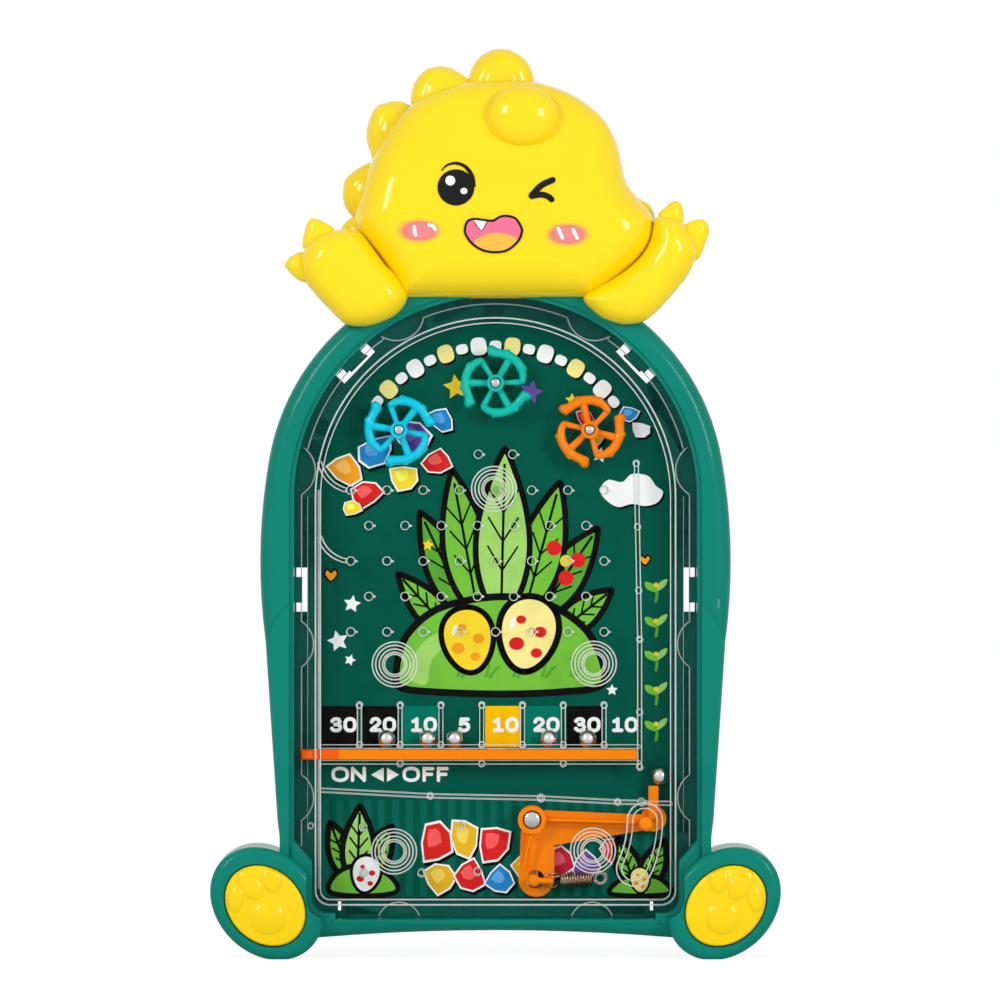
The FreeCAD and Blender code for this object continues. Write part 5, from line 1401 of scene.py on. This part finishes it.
class TOY_OT_levers(bpy.types.Operator):
    """Dresses the gate bar and the launcher lever, and rounds the lever's ribs, hook and peg"""
    bl_idname = "toy.levers"
    bl_label = "Gate bar and launcher"

    def execute(self, context):
        colour = context.scene.toy_plastics.levers
        orange = moulded_plastic("lever_plastic", colour, 0.28, 0.14, 0.95, gloss=0.05)
        gate = moulded_plastic("gate_plastic", colour, 0.28, 0.14, 0.95, gloss=0.05)
        # Painted shade: the gate bar's left end is darkened to a deeper orange.
        paint_end_shade(gate, GATE_SHADE_END, (1.0, 0.5, 1.0))
        dress("gate_bar", gate)
        dress("launcher_lever", orange)
        front = float(at_depth(LEVER_FRONT))
        skins = [lever_rod(rib, *RIB_ROD) for rib in LEVER_RIBS] + [lever_rod(HOOK, *HOOK_ROD)]
        knob, peg = at_pixels(HOOK[0]), at_pixels(PEG)
        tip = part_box("launcher_lever")[0].y
        skins += [ball_skin((knob[0], front + KNOB_INWARD, knob[1]), KNOB_RADII, 20, 40),
                  ball_skin((peg[0], tip + PEG_RADII[1], peg[1]), PEG_RADII, 24, 48)]
        details = skin_mesh("launcher_details", skins, orange)
        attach(details, "launcher")
        return {"FINISHED"}


class TOY_OT_caps(bpy.types.Operator):
    """Builds the bright ends of the posts that the wheels and the launcher turn on"""
    bl_idname = "toy.caps"
    bl_label = "Post caps"

    def execute(self, context):
        steel = polished_steel("cap_steel", (0.62, 0.60, 0.60), 0.05)
        pivot = at_pixels(LEVER_PIVOT)
        y = float(at_depth(POST_CAP_DEPTH))
        caps = [ball_skin((x * MM, y, h * MM), POST_CAP_RADII, 16, 32) for _, x, h, *_ in WHEELS]
        caps.append(ball_skin((pivot[0], float(at_depth(PIVOT_CAP_DEPTH)), pivot[1]),
                              PIVOT_CAP_RADII, 20, 48))
        caps = skin_mesh("post_caps", caps, steel)
        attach(caps, HOUSING)
        tabs = arch_tabs(NODES["tray"].data.materials[0])
        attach(tabs, HOUSING)
        return {"FINISHED"}


def arch_tabs(material):
    """Flat tabs that fill most of the two slots in the arch, but for their ends."""
    slabs = []
    for sign in (-1, 1):
        along = np.array((sign, -1.0)) / math.sqrt(2)
        out = np.array((sign, 1.0)) / math.sqrt(2)
        middle = np.array((sign * TAB_MIDDLE[0], TAB_MIDDLE[1]))
        corners = np.array([middle + along * a * TAB_HALF[0] + out * b * TAB_HALF[1]
                            for a, b in ((-1, -1), (1, -1), (1, 1), (-1, 1))]) * MM
        slabs.append(closed_grid([np.stack([corners[:, 0], np.full(4, float(at_depth(d))),
                                            corners[:, 1]], -1) for d in TAB_DEPTHS]))
    return skin_mesh("arch_tabs", slabs, material)


# Wheels

WHEELS = (("left", -31.5, 171.5, 6.0, 1), ("top", 0.0, 186.8, -15.0, -1),
          ("right", 30.7, 171.5, 29.0, -1))
WHEEL_SWEEP = 108.0
VANE_BUDS = ((0.34, 1.3), (0.72, 1.15))
BLADE_SHARE = 0.95
BLADE_GAP = 1.1 * MM
SPOKE_START = 1.9 * MM
HUB_RADIUS, HUB_BORE, HUB_EDGE = 2.8 * MM, 1.7 * MM, 0.35 * MM
HUB_DEPTHS = (13.7, 6.6)
RIM_DEPTH, LOW_DEPTH = 11.5, 10.2


def vane_radius(share, sizes):
    """Radius along a vane: a knob at the start, two swellings and a tapering end."""
    knob = (sizes.knob_radius - sizes.tube_radius) * np.exp(-((share - 0.05) / 0.07) ** 2)
    swell = 0.2 * MM * sum(np.exp(-((share - s) / 0.05) ** 2) for s in (0.4, 0.7))
    taper = 1 - 0.30 * np.clip((share - 0.6) / 0.4, 0, 1)
    ends = np.sqrt(np.clip(1 - (1 - np.clip(share / 0.07, 0, 1)) ** 2, 0.0, 1))
    tail = np.sqrt(np.clip(1 - np.clip((share - 0.93) / 0.07, 0, 1) ** 2, 0.0, 1))
    return (sizes.tube_radius * taper + knob + swell) * np.maximum(ends * tail, 0.03)


def vane_path(share, start, way, sizes, depth):
    """A vane's centre line: a spiral that leaves the knob outside and closes in at its end."""
    angle = np.radians(start + way * share * WHEEL_SWEEP)
    radius = (sizes.ring_radius + 1.3 * MM * np.exp(-(share / 0.10) ** 2)
              - 1.5 * MM * np.clip((share - 0.55) / 0.45, 0, 1) ** 2)
    return np.stack([radius * np.cos(angle), np.full(len(share), depth),
                     radius * np.sin(angle)], -1)


def spoke(degrees, reach, end_depth, low_depth, radii):
    """The skin of a straight rod from the hub outwards that runs from one depth to another."""
    a = math.radians(degrees)
    r = np.linspace(SPOKE_START, reach, 20)
    path = np.stack([r * math.cos(a), np.linspace(low_depth, end_depth, 20), r * math.sin(a)], -1)
    return tube_skin(path, radii, 14)


def wheel_skins(turn, way, sizes):
    """Closed skins of a wheel about its own middle: vanes with buds, spokes and low blades."""
    rim, low = float(at_depth(RIM_DEPTH)), float(at_depth(LOW_DEPTH))
    skins = []
    for i in range(3):
        start = turn + 120 * i
        share = np.linspace(0.0, 1.0, 64)
        path = vane_path(share, start, way, sizes, rim)
        skins.append(tube_skin(path, vane_radius(share, sizes), 20))
        for place, size in VANE_BUDS:
            spot = vane_path(np.array([place]), start, way, sizes, rim)[0]
            out = spot * (1, 0, 1) / np.linalg.norm(spot * (1, 0, 1))
            skins.append(ball_skin(spot + out * 0.7 * MM, (size * MM,) * 3, 12, 24))
        skins.append(spoke(start + way * 0.42 * WHEEL_SWEEP, sizes.ring_radius, rim, low,
                           sizes.spoke_radius * np.linspace(1.0, 1.25, 20)))
        skins.append(spoke(start + way * BLADE_SHARE * WHEEL_SWEEP,
                           sizes.ring_radius - BLADE_GAP, (low + rim) / 2, low,
                           sizes.spoke_radius * np.linspace(0.75, 1.0, 20)))
    return skins + [hub_skin(*(float(at_depth(depth)) for depth in HUB_DEPTHS))]


def hub_skin(front, back):
    """A hub's closed section turned about its axis, with cut outer edges."""
    outer = HUB_RADIUS - HUB_EDGE
    profile = np.array([(HUB_BORE, back), (outer, back), (HUB_RADIUS, back + HUB_EDGE),
                        (HUB_RADIUS, front - HUB_EDGE), (outer, front), (HUB_BORE, front)])
    t = full_turn(48)
    rings = np.stack([profile[:, None, 0] * np.cos(t), np.repeat(profile[:, 1:], 48, 1),
                      profile[:, None, 0] * np.sin(t)], -1)
    return rings.reshape(-1, 3), grid_faces(6, 48, True, True)


class TOY_OT_wheels(bpy.types.Operator):
    """Builds the three spinner wheels"""
    bl_idname = "toy.wheels"
    bl_label = "Spinner wheels"

    def execute(self, context):
        sizes = context.scene.toy_wheels
        colours = context.scene.toy_plastics
        for word, x, height, turn, way in WHEELS:
            skin = moulded_plastic(f"{word}_wheel_plastic", getattr(colours, f"{word}_wheel"),
                                   0.22, 0.3, 0.95, gloss=0.08)
            centre = np.array((x * MM, 0.0, height * MM))
            wheel = skin_mesh(f"{word}_wheel_skin", [(points + centre, cells) for points, cells
                                                     in wheel_skins(turn, way, sizes)], skin)
            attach(wheel, f"spinner_{word}")
            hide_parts(f"wheel_{word}")
        return {"FINISHED"}


# Spring and balls

LOOP_LEFT = (18.3, 24.5)
LOOP_RIGHT = (34.2, 25.4)
SPRING_DEPTH = 9.35
SPRING_PITCH = 0.86 * MM
LOOP_RADII = (2.3 * MM, 2.2 * MM)
LOOP_TURNS = ((-40, -270), (90, -215))


def open_loop(middle, radius, turns, count):
    """A flat open loop about a place on the spring's axis."""
    a = np.radians(np.linspace(*turns, count))
    return np.stack([middle + radius * np.cos(a), radius * np.sin(a), np.zeros(count)], -1)


def spring_path(sizes):
    """The wire's centre line about the axis between the loops: an open loop, a helix, a loop."""
    left, right = np.array(LOOP_LEFT) * MM, np.array(LOOP_RIGHT) * MM
    span = np.linalg.norm(right - left)
    start = (span - sizes.turns * SPRING_PITCH) / 2
    first = open_loop(0.0, LOOP_RADII[0], LOOP_TURNS[0], 40)
    last = open_loop(span, LOOP_RADII[1], LOOP_TURNS[1], 48)
    t = np.linspace(0, 2 * np.pi * sizes.turns, 32 * sizes.turns + 1)
    helix = np.stack([start + SPRING_PITCH * t / (2 * np.pi), sizes.coil_radius * np.cos(t),
                      -sizes.coil_radius * np.sin(t)], -1)
    flat = np.concatenate([first, catmull([first[-1], helix[3]], 3, False)[1:-1], helix[3:-3],
                           catmull([helix[-4], last[0]], 3, False)[1:-1], last])
    along = (right - left) / span
    across = np.array((-along[1], along[0]))
    place = left + flat[:, :1] * along + flat[:, 1:2] * across
    return np.stack([place[:, 0], at_depth(SPRING_DEPTH) - flat[:, 2], place[:, 1]], -1)


class TOY_OT_spring(bpy.types.Operator):
    """Winds the return spring"""
    bl_idname = "toy.spring"
    bl_label = "Return spring"

    def execute(self, context):
        sizes = context.scene.toy_spring
        path = spring_path(sizes)
        steel = polished_steel("spring_steel", (0.42, 0.28, 0.20), 0.2)
        wire = tube_skin(path, np.full(len(path), sizes.wire / 2), 12)
        spring = skin_mesh("spring_wire", [wire], steel)
        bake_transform(spring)
        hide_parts("return_spring")
        return {"FINISHED"}


class TOY_OT_balls(bpy.types.Operator):
    """Makes the six steel balls"""
    bl_idname = "toy.balls"
    bl_label = "Balls"

    def execute(self, context):
        steel = polished_steel("ball_steel", (0.72, 0.70, 0.69), 0.12)
        for i in range(1, 7):
            low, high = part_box(f"ball_{i}")
            centre = (low + high) / 2
            radius = (high.x - low.x) / 2
            ball = skin_mesh(f"steel_ball_{i}_skin",
                             [ball_skin(centre, (radius,) * 3, 32, 64)], steel)
            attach(ball, f"steel_ball_{i}")
            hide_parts(f"ball_{i}")
        return {"FINISHED"}


# Stage

LAMPS = (("lamp_left", (-0.85, -1.0, 0.75)), ("lamp_right", (0.85, -1.0, 0.55)))
LAMP_TARGET = (0, 0, 0.15)
LAMP_SIZE = (0.30, 0.45)
FLOOR_HALF = 1.5
FLOOR_GLOW, FLOOR_GLOW_SHARE = 1.12, 0.8


def white_to_rays(nodes, links, sky_strength, white_strength):
    """A strength that is one value for light on the object and another where it is seen."""
    rays = nodes.new("ShaderNodeLightPath").outputs
    glossy = calculated(nodes, links, "MAXIMUM", rays["Is Camera Ray"], rays["Is Glossy Ray"])
    seen = calculated(nodes, links, "MAXIMUM", glossy, rays["Is Transmission Ray"])
    return mapped(nodes, links, seen, 0.0, 1.0, sky_strength, white_strength)


def add_lamp(name, place, power):
    """A rectangular lamp that points at the toy's middle."""
    lamp = bpy.data.lights.new(name, "AREA")
    lamp.shape = "RECTANGLE"
    lamp.size, lamp.size_y = LAMP_SIZE
    lamp.energy = power
    piece = bpy.data.objects.new(name, lamp)
    piece.location = place
    heading = Vector(LAMP_TARGET) - Vector(place)
    piece.rotation_euler = heading.to_track_quat("-Z", "Y").to_euler()
    bpy.context.scene.collection.objects.link(piece)


class TOY_OT_stage(bpy.types.Operator):
    """Sets the camera, the lamps, the light all round and a pale floor"""
    bl_idname = "toy.stage"
    bl_label = "Stage"

    def execute(self, context):
        settings = context.scene.toy_stage
        scene = context.scene
        scene.view_settings.view_transform = "Standard"
        camera_data = bpy.data.cameras.new("camera")
        camera_data.sensor_width = 36.0
        camera_data.lens = 36.0 * settings.distance / (1000 * PICTURE_SCALE)
        camera = bpy.data.objects.new("camera", camera_data)
        camera.location = (float(px(IMAGE_CENTRE[0])), -settings.distance,
                           float(pz(IMAGE_CENTRE[1])))
        camera.rotation_euler = (math.radians(90), 0, 0)
        scene.collection.objects.link(camera)
        scene.camera = camera
        for name, place in LAMPS:
            add_lamp(name, place, settings.lamp)
        world = bpy.data.worlds.new("world")
        world.use_nodes = True
        scene.world = world
        nodes, links = world.node_tree.nodes, world.node_tree.links
        sky = next(n for n in nodes if n.type == "BACKGROUND")
        sky.inputs["Color"].default_value = (1.0, 1.0, 1.0, 1.0)
        links.new(white_to_rays(nodes, links, settings.sky, 1.0), sky.inputs["Strength"])
        floor_material, nodes, links, shader, output = new_material("floor_paper")
        shader.inputs["Base Color"].default_value = (0.9, 0.9, 0.9, 1.0)
        shader.inputs["Roughness"].default_value = 0.9
        white = nodes.new("ShaderNodeEmission")
        white.inputs["Strength"].default_value = FLOOR_GLOW
        rays = nodes.new("ShaderNodeLightPath")
        share = mapped(nodes, links, rays.outputs["Is Camera Ray"], 0.0, 1.0, 0.0,
                       FLOOR_GLOW_SHARE)
        mix_surfaces(nodes, links, share, shader.outputs["BSDF"], white.outputs["Emission"],
                     output)
        corners = [(x * FLOOR_HALF, y * FLOOR_HALF, 0)
                   for x, y in ((-1, -1), (1, -1), (1, 1), (-1, 1))]
        floor = make_object("floor", corners, [(0, 1, 2, 3)], floor_material)
        return {"FINISHED"}


PIECES = (TOY_OT_head, TOY_OT_arms, TOY_OT_face, TOY_OT_card, TOY_OT_tray, TOY_OT_cover,
          TOY_OT_levers, TOY_OT_caps, TOY_OT_wheels, TOY_OT_spring, TOY_OT_balls, TOY_OT_stage)


class TOY_PT_panel(bpy.types.Panel):
    """Lists the pieces of the toy"""
    bl_idname = "TOY_PT_panel"
    bl_label = "Pinball toy"
    bl_space_type = "VIEW_3D"
    bl_region_type = "UI"
    bl_category = "Pinball toy"

    def draw(self, context):
        for operator in PIECES:
            self.layout.operator(operator.bl_idname)


GROUPS = (("toy_plastics", PlasticColours), ("toy_head", HeadShape), ("toy_wheels", WheelSizes),
          ("toy_spring", SpringSizes), ("toy_stage", StageSettings))


def register():
    for name, group in GROUPS:
        bpy.utils.register_class(group)
        setattr(bpy.types.Scene, name, bpy.props.PointerProperty(type=group))
    for operator in PIECES:
        bpy.utils.register_class(operator)
    bpy.utils.register_class(TOY_PT_panel)


def unregister():
    bpy.utils.unregister_class(TOY_PT_panel)
    for operator in reversed(PIECES):
        bpy.utils.unregister_class(operator)
    for name, group in reversed(GROUPS):
        delattr(bpy.types.Scene, name)
        bpy.utils.unregister_class(group)


def main():
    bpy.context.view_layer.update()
    register()
    for operator in PIECES:
        group, name = operator.bl_idname.split(".")
        getattr(getattr(bpy.ops, group), name)()


if __name__ == "__main__":
    main()
